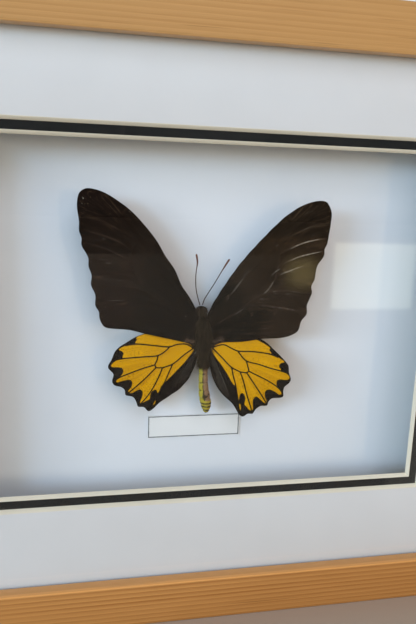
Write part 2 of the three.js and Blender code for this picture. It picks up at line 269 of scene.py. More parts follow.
@dataclass(frozen=True)
class Pine:
    """Straight-grained pine under a clear satin finish; the rings show as lines along the rail."""
    name: str
    along_x: bool
    pith: tuple[float, float, float]
    early: Colour
    late: Colour
    contrast: Point = (0.4, 1.0)
    ring: float = 1.9
    wander: float = 0.0032
    roughness: float = 0.42

    def along(self, nodes: Nodes, place: bpy.types.NodeSocket, share: float) -> bpy.types.NodeSocket:
        """Object coordinates drawn out along the grain, which makes a pattern 1 / share times as long."""
        return nodes.stretched(place, (share, 1.0, 1.0) if self.along_x else (1.0, 1.0, share))

    def rings(self, nodes: Nodes, place: bpy.types.NodeSocket) -> bpy.types.NodeSocket:
        """Counts the year rings outwards from the pith, which wander a little along the rail.

        Args:
            nodes: nodes of the material.
            place: object coordinates.

        Returns:
            The count, its whole part the year.
        """
        drift = nodes.add("ShaderNodeTexNoise", {"Vector": self.along(nodes, place, 0.02), "Scale": 38.0})
        centred = nodes.vector_sum("SUBTRACT", drift.outputs["Color"], (0.5,) * 3)
        moved = nodes.vector_sum("MULTIPLY_ADD", centred, (self.wander,) * 3, place)
        across = self.along(nodes, nodes.vector_sum("SUBTRACT", moved, mm(*self.pith)), 0.03)
        radius = nodes.add("ShaderNodeVectorMath", {0: across}, operation="LENGTH").outputs["Value"]
        return nodes.sum("DIVIDE", radius, mm(self.ring)[0])

    def material(self) -> bpy.types.Material:
        """Builds the material.

        Returns:
            The material.
        """
        nodes = Nodes(self.name)
        place = nodes.place()
        phase = nodes.sum("FRACT", self.rings(nodes, place))
        calm = nodes.step(nodes.noise(self.along(nodes, place, 0.5), 9.0, 1.0), 0.35, 0.65, *self.contrast)
        year = nodes.step(nodes.noise(self.along(nodes, place, 0.02), 260.0, 1.0), 0.2, 0.75, 0.35, 1.0)
        late = nodes.sum("MULTIPLY", nodes.step(phase, 0.3, 0.85), nodes.step(phase, 1.0, 0.92))
        late = nodes.sum("MULTIPLY", nodes.sum("MULTIPLY", late, year), calm)
        spring = nodes.sum("MULTIPLY", nodes.sum("MULTIPLY", nodes.step(phase, 0.26, 0.1), calm), 0.6)
        fibre = nodes.noise(self.along(nodes, place, 0.012), 3600.0, 3.0, 0.6)
        duct = nodes.step(nodes.noise(self.along(nodes, place, 0.012), 1500.0, 1.0), 0.7, 0.78, 0.0, 0.45)
        broad = nodes.noise(self.along(nodes, place, 0.12), 34.0)
        colour = nodes.mix(late, self.early, self.late)
        colour = nodes.mix(spring, colour, tinted(self.early, 1.22))
        colour = nodes.mix(nodes.step(broad, 0.35, 0.7, 0.0, 0.35), colour, tinted(self.late, 0.95))
        colour = nodes.mix(nodes.step(fibre, 0.35, 0.7, 0.0, 0.3), colour, tinted(self.early, 1.16))
        colour = nodes.mix(duct, colour, tinted(self.late, 0.6))
        nodes.shade(Base_Color=colour, Roughness=self.roughness, Coat_Weight=0.25, Coat_Roughness=0.28)
        nodes.relief(nodes.sum("SUBTRACT", fibre, nodes.sum("MULTIPLY", late, 0.6)), 0.00006)
        return nodes.material


@dataclass(frozen=True)
class ClearGlass:
    """Clear float glass; lamps shine through it."""
    name: str = "clear_glass"
    tint: Colour = (0.985, 0.995, 0.99)
    ior: float = 1.5

    def material(self) -> bpy.types.Material:
        """Builds the material.

        Returns:
            The material.
        """
        nodes = Nodes(self.name)
        nodes.shade(Base_Color=self.tint, Roughness=0.0, IOR=self.ior, Transmission_Weight=1.0)
        clear = nodes.add("ShaderNodeBsdfTransparent", {"Color": self.tint}).outputs[0]
        path = nodes.add("ShaderNodeLightPath")
        surface = nodes.shader.outputs[0]
        for ray in ("Is Diffuse Ray", "Is Shadow Ray"):
            either = nodes.add("ShaderNodeMixShader", {0: path.outputs[ray], 1: surface, 2: clear})
            surface = either.outputs[0]
        nodes.feed(nodes.output.inputs["Surface"], surface)
        return nodes.material


@dataclass(frozen=True)
class Board:
    """Mat board, card or foam board: paper with a fine tooth and a slight unevenness of tone."""
    name: str
    colour: Colour
    mottle: float = 0.05
    tooth: float = 0.00003
    grain: float = 2600.0
    roughness: float = 0.9

    def tone(self, nodes: Nodes) -> bpy.types.NodeSocket:
        """The colour of the paper.

        Args:
            nodes: nodes of the material.

        Returns:
            The colour.
        """
        place = nodes.place()
        cloud = nodes.noise(place, 55.0, 3.0)
        fleck = nodes.noise(place, self.grain, 2.0)
        clouded = tinted(self.colour, 1 - self.mottle)
        flecked = tinted(self.colour, 1 - 2.2 * self.mottle)
        colour = nodes.mix(nodes.step(cloud, 0.3, 0.7), self.colour, clouded)
        return nodes.mix(nodes.step(fleck, 0.45, 0.8, 0.0, 0.5), colour, flecked)

    def material(self) -> bpy.types.Material:
        """Builds the material.

        Returns:
            The material.
        """
        nodes = Nodes(self.name)
        nodes.shade(Base_Color=self.tone(nodes), Roughness=self.roughness, Specular_IOR_Level=0.25)
        nodes.relief(nodes.noise(nodes.place(), self.grain, 3.0, 0.6), self.tooth)
        return nodes.material


@dataclass(frozen=True)
class PrintedCard(Board):
    """Card with a thin line printed just inside its edge."""
    centre: Point = (0.0, 0.0)
    size: Point = (44.0, 11.0)
    line_inset: float = 0.5
    line_width: float = 0.55
    ink: Colour = srgb(78, 86, 92)

    def tone(self, nodes: Nodes) -> bpy.types.NodeSocket:
        """The colour of the paper and the line.

        Args:
            nodes: nodes of the material.

        Returns:
            The colour.
        """
        spread = nodes.add("ShaderNodeSeparateXYZ", {0: nodes.place()})
        reaches = []
        for axis, middle, size in (("X", self.centre[0], self.size[0]), ("Z", self.centre[1], self.size[1])):
            away = nodes.sum("ABSOLUTE", nodes.sum("SUBTRACT", spread.outputs[axis], mm(middle)[0]))
            reaches.append(nodes.sum("SUBTRACT", away, mm(size / 2 - self.line_inset)[0]))
        border = nodes.sum("ABSOLUTE", nodes.sum("MAXIMUM", *reaches))
        wobble = nodes.noise(nodes.place(), 900.0, 2.0)
        half = nodes.step(wobble, 0.3, 0.7, mm(self.line_width * 0.36)[0], mm(self.line_width * 0.55)[0])
        line = nodes.sum("LESS_THAN", border, half)
        return nodes.mix(nodes.sum("MULTIPLY", line, 0.88), super().tone(nodes), self.ink)


@dataclass(frozen=True)
class Hardboard:
    """Brown pressed fibre board, its rough side marked by the press screen."""
    name: str = "hardboard"
    colour: Colour = srgb(118, 82, 50)
    low_fibre: Colour = srgb(84, 55, 32)
    high_fibre: Colour = srgb(150, 108, 68)
    screen_pitch: float = 1.3

    def material(self) -> bpy.types.Material:
        """Builds the material.

        Returns:
            The material.
        """
        nodes = Nodes(self.name)
        place = nodes.place()
        fibre = nodes.noise(nodes.stretched(place, (1.0, 1.0, 0.45)), 900.0, 4.0, 0.65)
        cloud = nodes.noise(place, 22.0, 3.0)
        colour = nodes.mix(nodes.step(fibre, 0.3, 0.72), self.low_fibre, self.high_fibre)
        colour = nodes.mix(nodes.step(cloud, 0.3, 0.7, 0.1, 0.5), colour, self.colour)
        spread = nodes.add("ShaderNodeSeparateXYZ", {0: place})
        turns = 2 * math.pi / mm(self.screen_pitch)[0]
        waves = [nodes.sum("SINE", nodes.sum("MULTIPLY", spread.outputs[axis], turns)) for axis in ("X", "Z")]
        screen = nodes.sum("MULTIPLY", *waves)
        nodes.shade(Base_Color=colour, Roughness=0.72, Specular_IOR_Level=0.3)
        nodes.relief(nodes.sum("MULTIPLY_ADD", screen, 0.35, fibre), 0.00012)
        return nodes.material


@dataclass(frozen=True)
class ZincSteel:
    """Thin zinc-plated steel, with the fine lines of rolling and a few scratches."""
    name: str = "zinc_steel"
    colour: Colour = srgb(186, 188, 190)
    patched: Colour = srgb(150, 154, 160)

    def material(self) -> bpy.types.Material:
        """Builds the material.

        Returns:
            The material.
        """
        nodes = Nodes(self.name)
        place = nodes.place()
        rolled = nodes.noise(nodes.stretched(place, (1.0, 1.0, 0.03)), 5200.0, 2.0)
        patch = nodes.noise(place, 420.0, 3.0)
        colour = nodes.mix(nodes.step(patch, 0.35, 0.7, 0.0, 0.5), self.colour, self.patched)
        roughness = nodes.sum("MULTIPLY_ADD", rolled, 0.18, nodes.step(patch, 0.3, 0.7, 0.2, 0.34))
        nodes.shade(Base_Color=colour, Metallic=1.0, Roughness=roughness)
        nodes.relief(rolled, 0.00001)
        return nodes.material


@dataclass(frozen=True)
class Foam:
    """White closed-cell foam."""
    name: str = "closed_foam"
    colour: Colour = srgb(226, 226, 221)
    wall: Colour = srgb(205, 205, 198)

    def material(self) -> bpy.types.Material:
        """Builds the material.

        Returns:
            The material.
        """
        nodes = Nodes(self.name)
        pattern = nodes.add("ShaderNodeTexVoronoi", {"Vector": nodes.place(), "Scale": 2400.0})
        cells = pattern.outputs["Distance"]
        colour = nodes.mix(nodes.step(cells, 0.2, 0.7), self.colour, self.wall)
        nodes.shade(Base_Color=colour, Roughness=0.85, Subsurface_Weight=0.15, Subsurface_Radius=(0.002,) * 3)
        nodes.relief(cells, 0.00008)
        return nodes.material


@dataclass(frozen=True)
class WingScales:
    """Wing scales: near black at the base and brown farther out, or gold between black veins."""
    name: str
    dark: Colour = srgb(3, 3, 1)
    # On the left forewing, whose material takes this default, the brown farther out is partly a painted
    # reflection of the room in the glass, partly the wing's own tone.
    brown: Colour = srgb(24, 16, 11)
    streaked: Colour = srgb(72, 56, 43)
    fleck: Colour = srgb(126, 108, 81)
    furrow: Colour = srgb(5, 5, 3)
    ridge: Colour = srgb(92, 76, 62)
    # Pale colour of the painted highlights along the glints, of chips where scales are rubbed off and of
    # specks of dust.
    highlight_chip_and_dust: Colour = srgb(178, 170, 156)
    gold: Colour = srgb(210, 156, 0)
    deep_gold: Colour = srgb(160, 108, 0)
    light_gold: Colour = srgb(226, 168, 6)
    gold_row: Colour = srgb(96, 60, 0)
    gold_edge: float = 0.12
    vein_half: float = 0.31
    vein_blur: float = 0.08

    def dark_scales(self, nodes: Nodes, place: bpy.types.NodeSocket, fan: bpy.types.NodeSocket,
                    streak: bpy.types.NodeSocket) -> bpy.types.NodeSocket:
        """The dark scales, a little lighter on the veins, with painted highlights along the glints, some of
        them chips where scales are rubbed off, and pale specks of dust.

        Args:
            nodes: nodes of the material.
            place: object coordinates.
            fan: coordinates that run across and along the veins.
            streak: noise drawn out along the veins.

        Returns:
            Their colour.
        """
        cloud = nodes.sum("SUBTRACT", nodes.noise(place, 70.0, 3.0), 0.5)
        outer = nodes.step(nodes.sum("MULTIPLY_ADD", cloud, 1.6, nodes.attribute("outer")), 0.1, 0.9)
        colour = nodes.mix(outer, self.dark, self.brown)
        colour = nodes.mix(nodes.step(streak, 0.55, 0.75, 0.0, 0.45), colour, self.streaked)
        thread = nodes.noise(nodes.stretched(fan, (7.0, 0.22, 1.0)), 1.0, 3.0, 0.7)
        colour = nodes.mix(nodes.step(thread, 0.56, 0.68, 0.0, 0.5), colour, self.streaked)
        furrow = nodes.noise(nodes.stretched(fan, (9.0, 0.1, 1.0)), 1.0, 2.0, 0.6)
        colour = nodes.mix(nodes.step(furrow, 0.5, 0.75, 0.0, 0.6), colour, self.furrow)
        on_vein = nodes.step(nodes.attribute("vein"), 0.55, 0.15)
        ridge = nodes.sum("MULTIPLY", on_vein, nodes.attribute("pale"))
        colour = nodes.mix(nodes.sum("MULTIPLY", ridge, 0.35), colour, self.ridge)
        broken = nodes.step(nodes.noise(place, 1300.0, 3.0, 0.7), 0.4, 0.6, 0.1, 1.0)
        # Painted highlights along the glints; a few of them are chips where scales are rubbed off.
        highlight_and_chips = nodes.sum("MULTIPLY", nodes.step(nodes.attribute("glint"), 0.3, 0.06), broken)
        flecks = nodes.step(nodes.noise(place, 620.0, 3.0, 0.75), 0.63, 0.75, 0.0, 0.6)
        flecks = nodes.sum("MULTIPLY", flecks, nodes.step(streak, 0.3, 0.7, 0.2, 1.0))
        colour = nodes.mix(flecks, colour, self.fleck)
        dots = nodes.add("ShaderNodeTexVoronoi", {"Vector": place, "Scale": 260.0})
        draw = nodes.add("ShaderNodeSeparateColor", {0: dots.outputs["Color"]}).outputs["Red"]
        chosen = nodes.sum("GREATER_THAN", draw, 0.86)
        dust = nodes.sum("MULTIPLY", nodes.step(dots.outputs["Distance"], 0.06, 0.03, 0.0, 0.6), chosen)
        return nodes.mix(nodes.sum("MAXIMUM", highlight_and_chips, dust), colour, self.highlight_chip_and_dust)

    def material(self) -> bpy.types.Material:
        """Builds the material.

        Returns:
            The material.
        """
        nodes = Nodes(self.name)
        place = nodes.place()
        fan = nodes.add("ShaderNodeAttribute", attribute_name="fan").outputs["Vector"]
        streak = nodes.noise(nodes.stretched(fan, (3.6, 0.05, 1.0)), 1.0, 3.0, 0.6)
        grain = nodes.noise(place, 5200.0, 2.0)
        rough = nodes.sum("SUBTRACT", grain, 0.5)
        ragged = nodes.sum("MULTIPLY_ADD", rough, 0.5, nodes.attribute("gold"))
        within = nodes.step(ragged, -self.gold_edge, self.gold_edge)
        beside = nodes.sum("MULTIPLY_ADD", rough, 0.16, nodes.attribute("vein"))
        line = nodes.step(beside, self.vein_half - self.vein_blur, self.vein_half + self.vein_blur)
        shade = nodes.mix(nodes.step(streak, 0.35, 0.7, 0.0, 0.5), self.gold, self.deep_gold)
        shade = nodes.mix(nodes.step(grain, 0.45, 0.75, 0.0, 0.3), shade, self.light_gold)
        rows = nodes.noise(nodes.stretched(fan, (9.0, 1.6, 1.0)), 1.0, 3.0, 0.7)
        shade = nodes.mix(nodes.step(rows, 0.5, 0.68, 0.0, 0.8), shade, self.gold_row)
        dark = self.dark_scales(nodes, place, fan, streak)
        colour = nodes.mix(nodes.sum("MULTIPLY", within, line), dark, shade)
        nodes.shade(Base_Color=colour, Roughness=0.62, Specular_IOR_Level=0.05)
        nodes.relief(nodes.sum("MULTIPLY_ADD", grain, 0.4, nodes.sum("MULTIPLY", streak, 0.8)), 0.00009)
        return nodes.material


@dataclass(frozen=True)
class Hair:
    """Hair of the insect, a shade lighter towards the tips."""
    name: str
    root: Colour
    tip: Colour

    def material(self) -> bpy.types.Material:
        """Builds the material.

        Returns:
            The material.
        """
        nodes = Nodes(self.name)
        vary = nodes.noise(nodes.place(), 1400.0, 1.0)
        along = nodes.sum("MULTIPLY_ADD", vary, 0.4, nodes.attribute("along"))
        colour = nodes.mix(nodes.step(along, 0.2, 1.2), self.root, self.tip)
        nodes.shade(Base_Color=colour, Roughness=0.55, Specular_IOR_Level=0.15)
        return nodes.material


@dataclass(frozen=True)
class BodySkin:
    """Dark brown head and thorax; a yellow abdomen with a pinkish brown back, dark lines, spots and rings."""
    name: str = "insect_skin"
    dark: Colour = srgb(9, 8, 5)
    yellow: Colour = srgb(162, 148, 44)
    back: Colour = srgb(130, 101, 77)
    mark: Colour = srgb(48, 42, 34)
    speck: Colour = srgb(204, 190, 128)

    def material(self) -> bpy.types.Material:
        """Builds the material.

        Returns:
            The material.
        """
        nodes = Nodes(self.name)
        place = nodes.place()
        vary = nodes.noise(place, 900.0, 3.0, 0.6)
        fine = nodes.noise(place, 3000.0, 2.0)
        rough = nodes.sum("SUBTRACT", vary, 0.5)
        back = nodes.step(nodes.sum("MULTIPLY_ADD", rough, 0.8, nodes.attribute("back")), 0.35, 0.65)
        colour = nodes.mix(back, self.yellow, self.back)
        colour = nodes.mix(nodes.step(fine, 0.45, 0.8, 0.0, 0.4), colour, self.speck)
        marks = nodes.step(nodes.sum("MULTIPLY_ADD", rough, 1.7, nodes.attribute("mark")), 0.3, 0.75)
        colour = nodes.mix(nodes.sum("MULTIPLY", marks, 0.92), colour, self.mark)
        colour = nodes.mix(nodes.attribute("thorax"), colour, self.dark)
        nodes.shade(Base_Color=colour, Roughness=0.6, Specular_IOR_Level=0.2)
        nodes.relief(nodes.sum("MULTIPLY_ADD", fine, 0.5, vary), 0.0001)
        return nodes.material


@dataclass(frozen=True)
class Horn:
    """Smooth dark horn of eyes and antennae."""
    name: str
    colour: Colour
    tip: Colour
    roughness: float = 0.35

    def material(self) -> bpy.types.Material:
        """Builds the material.

        Returns:
            The material.
        """
        nodes = Nodes(self.name)
        mottle = nodes.noise(nodes.place(), 2500.0, 2.0)
        colour = nodes.mix(nodes.attribute("along"), self.colour, self.tip)
        colour = nodes.mix(nodes.step(mottle, 0.4, 0.8, 0.0, 0.5), colour, tinted(self.colour, 0.6))
        nodes.shade(Base_Color=colour, Roughness=self.roughness)
        nodes.relief(mottle, 0.00002)
        return nodes.material


@dataclass(frozen=True)
class Ground:
    """Plain pale floor."""
    name: str = "floor_paint"
    colour: Colour = srgb(184, 168, 150)

    def material(self) -> bpy.types.Material:
        """Builds the material.

        Returns:
            The material.
        """
        nodes = Nodes(self.name)
        cloud = nodes.noise(nodes.place(), 9.0, 3.0)
        nodes.shade(Base_Color=nodes.mix(cloud, self.colour, tinted(self.colour, 0.93)), Roughness=0.7)
        return nodes.material


# Making and settling pieces


def deselect() -> None:
    """Deselects every object."""
    bpy.ops.object.select_all(action="DESELECT")


def make_active(piece: bpy.types.Object) -> None:
    """Selects one object alone and makes it the active one.

    Args:
        piece: the object.
    """
    deselect()
    piece.select_set(True)
    bpy.context.view_layer.objects.active = piece


def block(middle: Sequence[float], size: Sequence[float]) -> bpy.types.Object:
    """Adds a cuboid, with its place and size in its mesh.

    Args:
        middle: its middle, in millimetres.
        size: its size along X, Y and Z, in millimetres.

    Returns:
        The cuboid, selected and active.
    """
    deselect()
    bpy.ops.mesh.primitive_cube_add(size=1, location=mm(*middle), scale=mm(*size))
    bpy.ops.object.transform_apply(location=True, rotation=True, scale=True)
    return bpy.context.object


def pick_faces(piece: bpy.types.Object, wanted: Test) -> None:
    """Selects, in edit mode, only the faces that pass the test.

    Args:
        piece: the piece, in edit mode.
        wanted: the test.
    """
    bpy.ops.mesh.select_mode(type="FACE")
    bpy.ops.mesh.select_all(action="DESELECT")
    shape = bmesh.from_edit_mesh(piece.data)
    for face in shape.faces:
        if wanted(face):
            face.select_set(True)
    bmesh.update_edit_mesh(piece.data)


def pick_edges(piece: bpy.types.Object, wanted: Callable[[Vector, Vector], bool]) -> None:
    """Selects, in edit mode, only the edges whose two ends pass the test.

    Args:
        piece: the piece, in edit mode.
        wanted: the test of the places of the two ends.
    """
    bpy.ops.mesh.select_mode(type="EDGE")
    bpy.ops.mesh.select_all(action="DESELECT")
    shape = bmesh.from_edit_mesh(piece.data)
    for edge in shape.edges:
        if wanted(*(corner.co for corner in edge.verts)):
            edge.select_set(True)
    bmesh.update_edit_mesh(piece.data)


def with_modifier(piece: bpy.types.Object, kind: str, **settings: object) -> None:
    """Adds a modifier to a piece and applies it.

    Args:
        piece: the piece.
        kind: type of the modifier.
        **settings: its properties.
    """
    make_active(piece)
    modifier = piece.modifiers.new(kind.title(), kind)
    for key, value in settings.items():
        setattr(modifier, key, value)
    bpy.ops.object.modifier_apply(modifier=modifier.name)


def cut_with(piece: bpy.types.Object, tool: bpy.types.Object, operation: str) -> None:
    """Cuts a piece with a tool, by DIFFERENCE or INTERSECT, and removes the tool."""
    with_modifier(piece, "BOOLEAN", object=tool, operation=operation, solver="MANIFOLD")
    bpy.data.meshes.remove(tool.data)


def outward(piece: bpy.types.Object) -> None:
    """Merges doubles and turns all faces outwards.

    Args:
        piece: the piece.
    """
    make_active(piece)
    bpy.ops.object.mode_set(mode="EDIT")
    bpy.ops.mesh.select_all(action="SELECT")
    bpy.ops.mesh.remove_doubles(threshold=WELD)
    bpy.ops.mesh.normals_make_consistent(inside=False)
    bpy.ops.object.mode_set(mode="OBJECT")


def dress(piece: bpy.types.Object, *materials: bpy.types.Material) -> None:
    """Gives a piece its materials, the first one on all its faces.

    Args:
        piece: the piece.
        *materials: its materials.
    """
    piece.data.materials.clear()
    for material in materials:
        piece.data.materials.append(material)


def dress_cut_faces(piece: bpy.types.Object) -> None:
    """Puts the second material, the exposed core, on all faces but those that look straight forwards."""
    for face in piece.data.polygons:
        face.material_index = 0 if face.normal.y < -0.99 else 1


def smooth(piece: bpy.types.Object, degrees: float = 35.0) -> None:
    """Shades a piece smooth, except over edges sharper than an angle."""
    make_active(piece)
    bpy.ops.object.shade_smooth_by_angle(angle=math.radians(degrees))


def settle(piece: bpy.types.Object, name: str, slot: str, *nodes: str) -> None:
    """Applies a piece's place, names it and hands it to the frame.

    Args:
        piece: the piece.
        name: its name.
        slot: the material slot that its finish comes from; not used.
        *nodes: the CAD nodes that it stands for.
    """
    make_active(piece)
    bpy.ops.object.transform_apply(location=True, rotation=True, scale=True)
    piece.name = name
    piece.data.name = name
    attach(piece, "root")
    if nodes:
        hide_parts(*nodes)
    log.info("%s: %d faces", name, len(piece.data.polygons))


def dress_node(node: str, material: bpy.types.Material) -> None:
    """Gives a CAD node that stays a better material.

    Args:
        node: the node.
        material: the material.
    """
    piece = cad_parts[node]
    for material_slot in piece.material_slots:
        material_slot.material = material
    log.info("%s: CAD shape, %s", node, material.name)


def points_of(piece: bpy.types.Object) -> np.ndarray:
    """The corner points of a mesh, in metres, one row each.

    Args:
        piece: the piece.

    Returns:
        The points.
    """
    flat = np.empty(len(piece.data.vertices) * 3)
    piece.data.vertices.foreach_get("co", flat)
    return flat.reshape(-1, 3)


def move_points(piece: bpy.types.Object, points: np.ndarray) -> None:
    """Moves the corner points of a mesh."""
    piece.data.vertices.foreach_set("co", points.ravel())
    piece.data.update()


def carry(piece: bpy.types.Object, name: str, values: np.ndarray) -> None:
    """Stores a number, or a vector of three, on each corner point of a mesh.

    Args:
        piece: the piece.
        name: name of the attribute.
        values: one number or vector for each point.
    """
    kind, key = ("FLOAT", "value") if values.ndim == 1 else ("FLOAT_VECTOR", "vector")
    attribute = piece.data.attributes.new(name, kind, "POINT")
    attribute.data.foreach_set(key, values.astype(np.float32).ravel())


def linked(name: str, data: bpy.types.ID) -> bpy.types.Object:
    """A new object in the scene that shows a mesh, a light or a camera.

    Args:
        name: name of the object.
        data: the mesh, light or camera.

    Returns:
        The object.
    """
    thing = bpy.data.objects.new(name, data)
    bpy.context.scene.collection.objects.link(thing)
    return thing


def mesh_from(name: str, points: np.ndarray, faces: Iterable[Sequence[int]]) -> bpy.types.Object:
    """A new object from corner points in metres and faces that index them.

    Args:
        name: name of the object.
        points: the corner points.
        faces: the faces.

    Returns:
        The object.
    """
    mesh = bpy.data.meshes.new(name)
    mesh.from_pydata(points.tolist(), [], [list(face) for face in faces])
    return linked(name, mesh)


# Curves in the plane of the wings


def through(points: Sequence[Point], steps: int, closed: bool = False) -> np.ndarray:
    """A centripetal Catmull-Rom curve through points.

    Args:
        points: the points it passes through.
        steps: points per stretch of the result.
        closed: True for a loop.

    Returns:
        Its points, one row each.
    """
    knots = np.array(points, float)
    if closed:
        ends = np.vstack([knots[-1], knots, knots[0], knots[1]])
    else:
        ends = np.vstack([2 * knots[0] - knots[1], knots, 2 * knots[-1] - knots[-2]])
    share = np.linspace(0, 1, steps, endpoint=False)[:, None]
    stretches = []
    for a, b, c, d in zip(ends, ends[1:], ends[2:], ends[3:]):
        t1 = math.sqrt(np.linalg.norm(b - a))
        t2 = t1 + math.sqrt(np.linalg.norm(c - b))
        t3 = t2 + math.sqrt(np.linalg.norm(d - c))
        t = t1 + (t2 - t1) * share
        p = (t1 - t) / t1 * a + t / t1 * b
        q = (t2 - t) / (t2 - t1) * b + (t - t1) / (t2 - t1) * c
        r = (t3 - t) / (t3 - t2) * c + (t - t2) / (t3 - t2) * d
        u = (t2 - t) / t2 * p + t / t2 * q
        v = (t3 - t) / (t3 - t1) * q + (t - t1) / (t3 - t1) * r
        stretches.append((t2 - t) / (t2 - t1) * u + (t - t1) / (t2 - t1) * v)
    curve = np.vstack(stretches)
    return curve if closed else np.vstack([curve, knots[-1]])


def distance_to(path: np.ndarray, places: np.ndarray) -> tuple[np.ndarray, np.ndarray]:
    """How far places lie from a path, and how far along it, from 0 to 1, they lie.

    Args:
        path: points of the path.
        places: the places.

    Returns:
        The distances, and the shares of the path passed.
    """
    starts, ends = path[:-1], path[1:]
    spans = ends - starts
    lengths = np.maximum(np.linalg.norm(spans, axis=1), WELD)
    before = np.concatenate([[0], np.cumsum(lengths)])
    best = np.full(len(places), np.inf)
    along = np.zeros(len(places))
    for start, span, length, passed in zip(starts, spans, lengths, before):
        offset = places - start
        share = np.clip(offset @ span / length ** 2, 0, 1)
        away = np.linalg.norm(offset - share[:, None] * span, axis=1)
        nearer = away < best
        best[nearer] = away[nearer]
        along[nearer] = (passed + share[nearer] * length) / before[-1]
    return best, along


def depth_inside(loop: np.ndarray, places: np.ndarray) -> np.ndarray:
    """How far places lie inside a closed loop, less than 0 outside it.

    Args:
        loop: points of the loop.
        places: the places.

    Returns:
        The depths.
    """
    closed = np.vstack([loop, loop[:1]])
    away, _ = distance_to(closed, places)
    inside = np.zeros(len(places), bool)
    for (x0, z0), (x1, z1) in zip(closed[:-1], closed[1:]):
        spans = (z0 > places[:, 1]) != (z1 > places[:, 1])
        if z1 != z0:
            inside ^= spans & (places[:, 0] < x0 + (places[:, 1] - z0) * (x1 - x0) / (z1 - z0))
    return np.where(inside, away, -away)


# The case


class Edge(Enum):
    """The four sides of the case, each with its turn about the case's middle."""
    TOP = 0
    RIGHT = 90
    BOTTOM = 180
    LEFT = -90

    @property
    def level(self) -> bool:
        """True for the two sides that run along X."""
        return self in (Edge.TOP, Edge.BOTTOM)


@dataclass
class PineFrame:
    """Four mitred rails with a rabbet behind a lip, and eased edges."""
    easing: float = 0.8
    easing_steps: int = 3
    piths: dict[Edge, tuple[float, float, float]] = field(default_factory=lambda: {
        Edge.TOP: (0, 30, 350), Edge.RIGHT: (250, 40, 0),
        Edge.BOTTOM: (0, 60, -130), Edge.LEFT: (-235, 55, 0)})
    tones: dict[Edge, tuple[Colour, Colour]] = field(default_factory=lambda: {
        Edge.TOP: (srgb(177, 136, 84), srgb(152, 105, 54)),
        Edge.RIGHT: (srgb(182, 138, 86), srgb(152, 102, 50)),
        Edge.BOTTOM: (srgb(182, 130, 72), srgb(148, 94, 42)),
        Edge.LEFT: (srgb(180, 134, 82), srgb(150, 100, 48))})
    contrasts: dict[Edge, Point] = field(default_factory=lambda: {
        Edge.TOP: (0.0, 0.4), Edge.RIGHT: (0.4, 0.9), Edge.BOTTOM: (0.7, 1.0), Edge.LEFT: (0.4, 0.9)})
    # How much lighter the copy of the pine on the inner faces of the lip is.
    lip_lightening: float = 1.4

    def rail(self, edge: Edge) -> bpy.types.Object:
        """Shapes one rail: a lip, the body drawn out behind it, eased edges and mitred ends.

        Args:
            edge: the side of the case that it stands on.

        Returns:
            The rail.
        """
        case = CASE
        sight, reach = case.sight_width / 2, case.sight_height / 2
        if not edge.level:
            sight, reach = reach, sight
        long = 2 * (sight + case.rail_width)
        rail = block((0, case.front + case.lip / 2, case.rail_width / 2), (long, case.lip, case.rail_width))
        rabbet = mm(case.rabbet)[0]
        bpy.ops.object.mode_set(mode="EDIT")
        bpy.ops.mesh.bisect(plane_co=(0, 0, rabbet), plane_no=(0, 0, 1))
        pick_faces(rail, lambda face: face.normal.y > 0.9 and face.calc_center_median().z > rabbet)
        back = (0, mm(case.depth - case.lip)[0], 0)
        bpy.ops.mesh.extrude_region_move(TRANSFORM_OT_translate={"value": back})
        pick_edges(rail, lambda a, b: abs(a.x - b.x) > 0.1 and not (
            abs(a.z - rabbet) < WELD and a.y < mm(case.front + case.lip + 1)[0]))
        bpy.ops.mesh.bevel(offset=mm(self.easing)[0], segments=self.easing_steps, affect="EDGES")
        for side in (-1, 1):
            bpy.ops.mesh.select_all(action="SELECT")
            cut = mm(sight - case.gap / 2)[0]
            bpy.ops.mesh.bisect(plane_co=(side * cut, 0, 0), plane_no=(side, 0, -1),
                                use_fill=True, clear_outer=True)
        bpy.ops.object.mode_set(mode="OBJECT")
        outward(rail)
        smooth(rail)
        turn = Matrix.Rotation(math.radians(edge.value), 4, "Y")
        lift = Matrix.Translation((0, 0, mm(reach)[0]))
        rail.data.transform(Matrix.Translation((0, 0, mm(case.centre_z)[0])) @ turn @ lift)
        return rail

    def build(self) -> None:
        """Builds and dresses the four rails."""
        for edge in Edge:
            node = f"{edge.name.lower()}_rail"
            early, late = self.tones[edge]
            finish = Pine(f"pine_{edge.name.lower()}", edge.level, self.piths[edge], early, late,
                          self.contrasts[edge])
            # A lighter copy of the pine, for the inner faces of the lip.
            lip_copy = replace(finish, name=f"{finish.name}_raw", early=tinted(early, self.lip_lightening),
                          late=tinted(early, self.lip_lightening * 0.85))
            rail = self.rail(edge)
            dress(rail, finish.material(), lip_copy.material())
            inwards = Matrix.Rotation(math.radians(edge.value), 3, "Y") @ Vector((0, 0, -1))
            for face in rail.data.polygons:
                before = face.center.y < mm(CASE.front + CASE.lip)[0]
                face.material_index = 1 if before and face.normal.dot(inwards) > 0.7 else 0
            settle(rail, node_name(node), "pine", node)


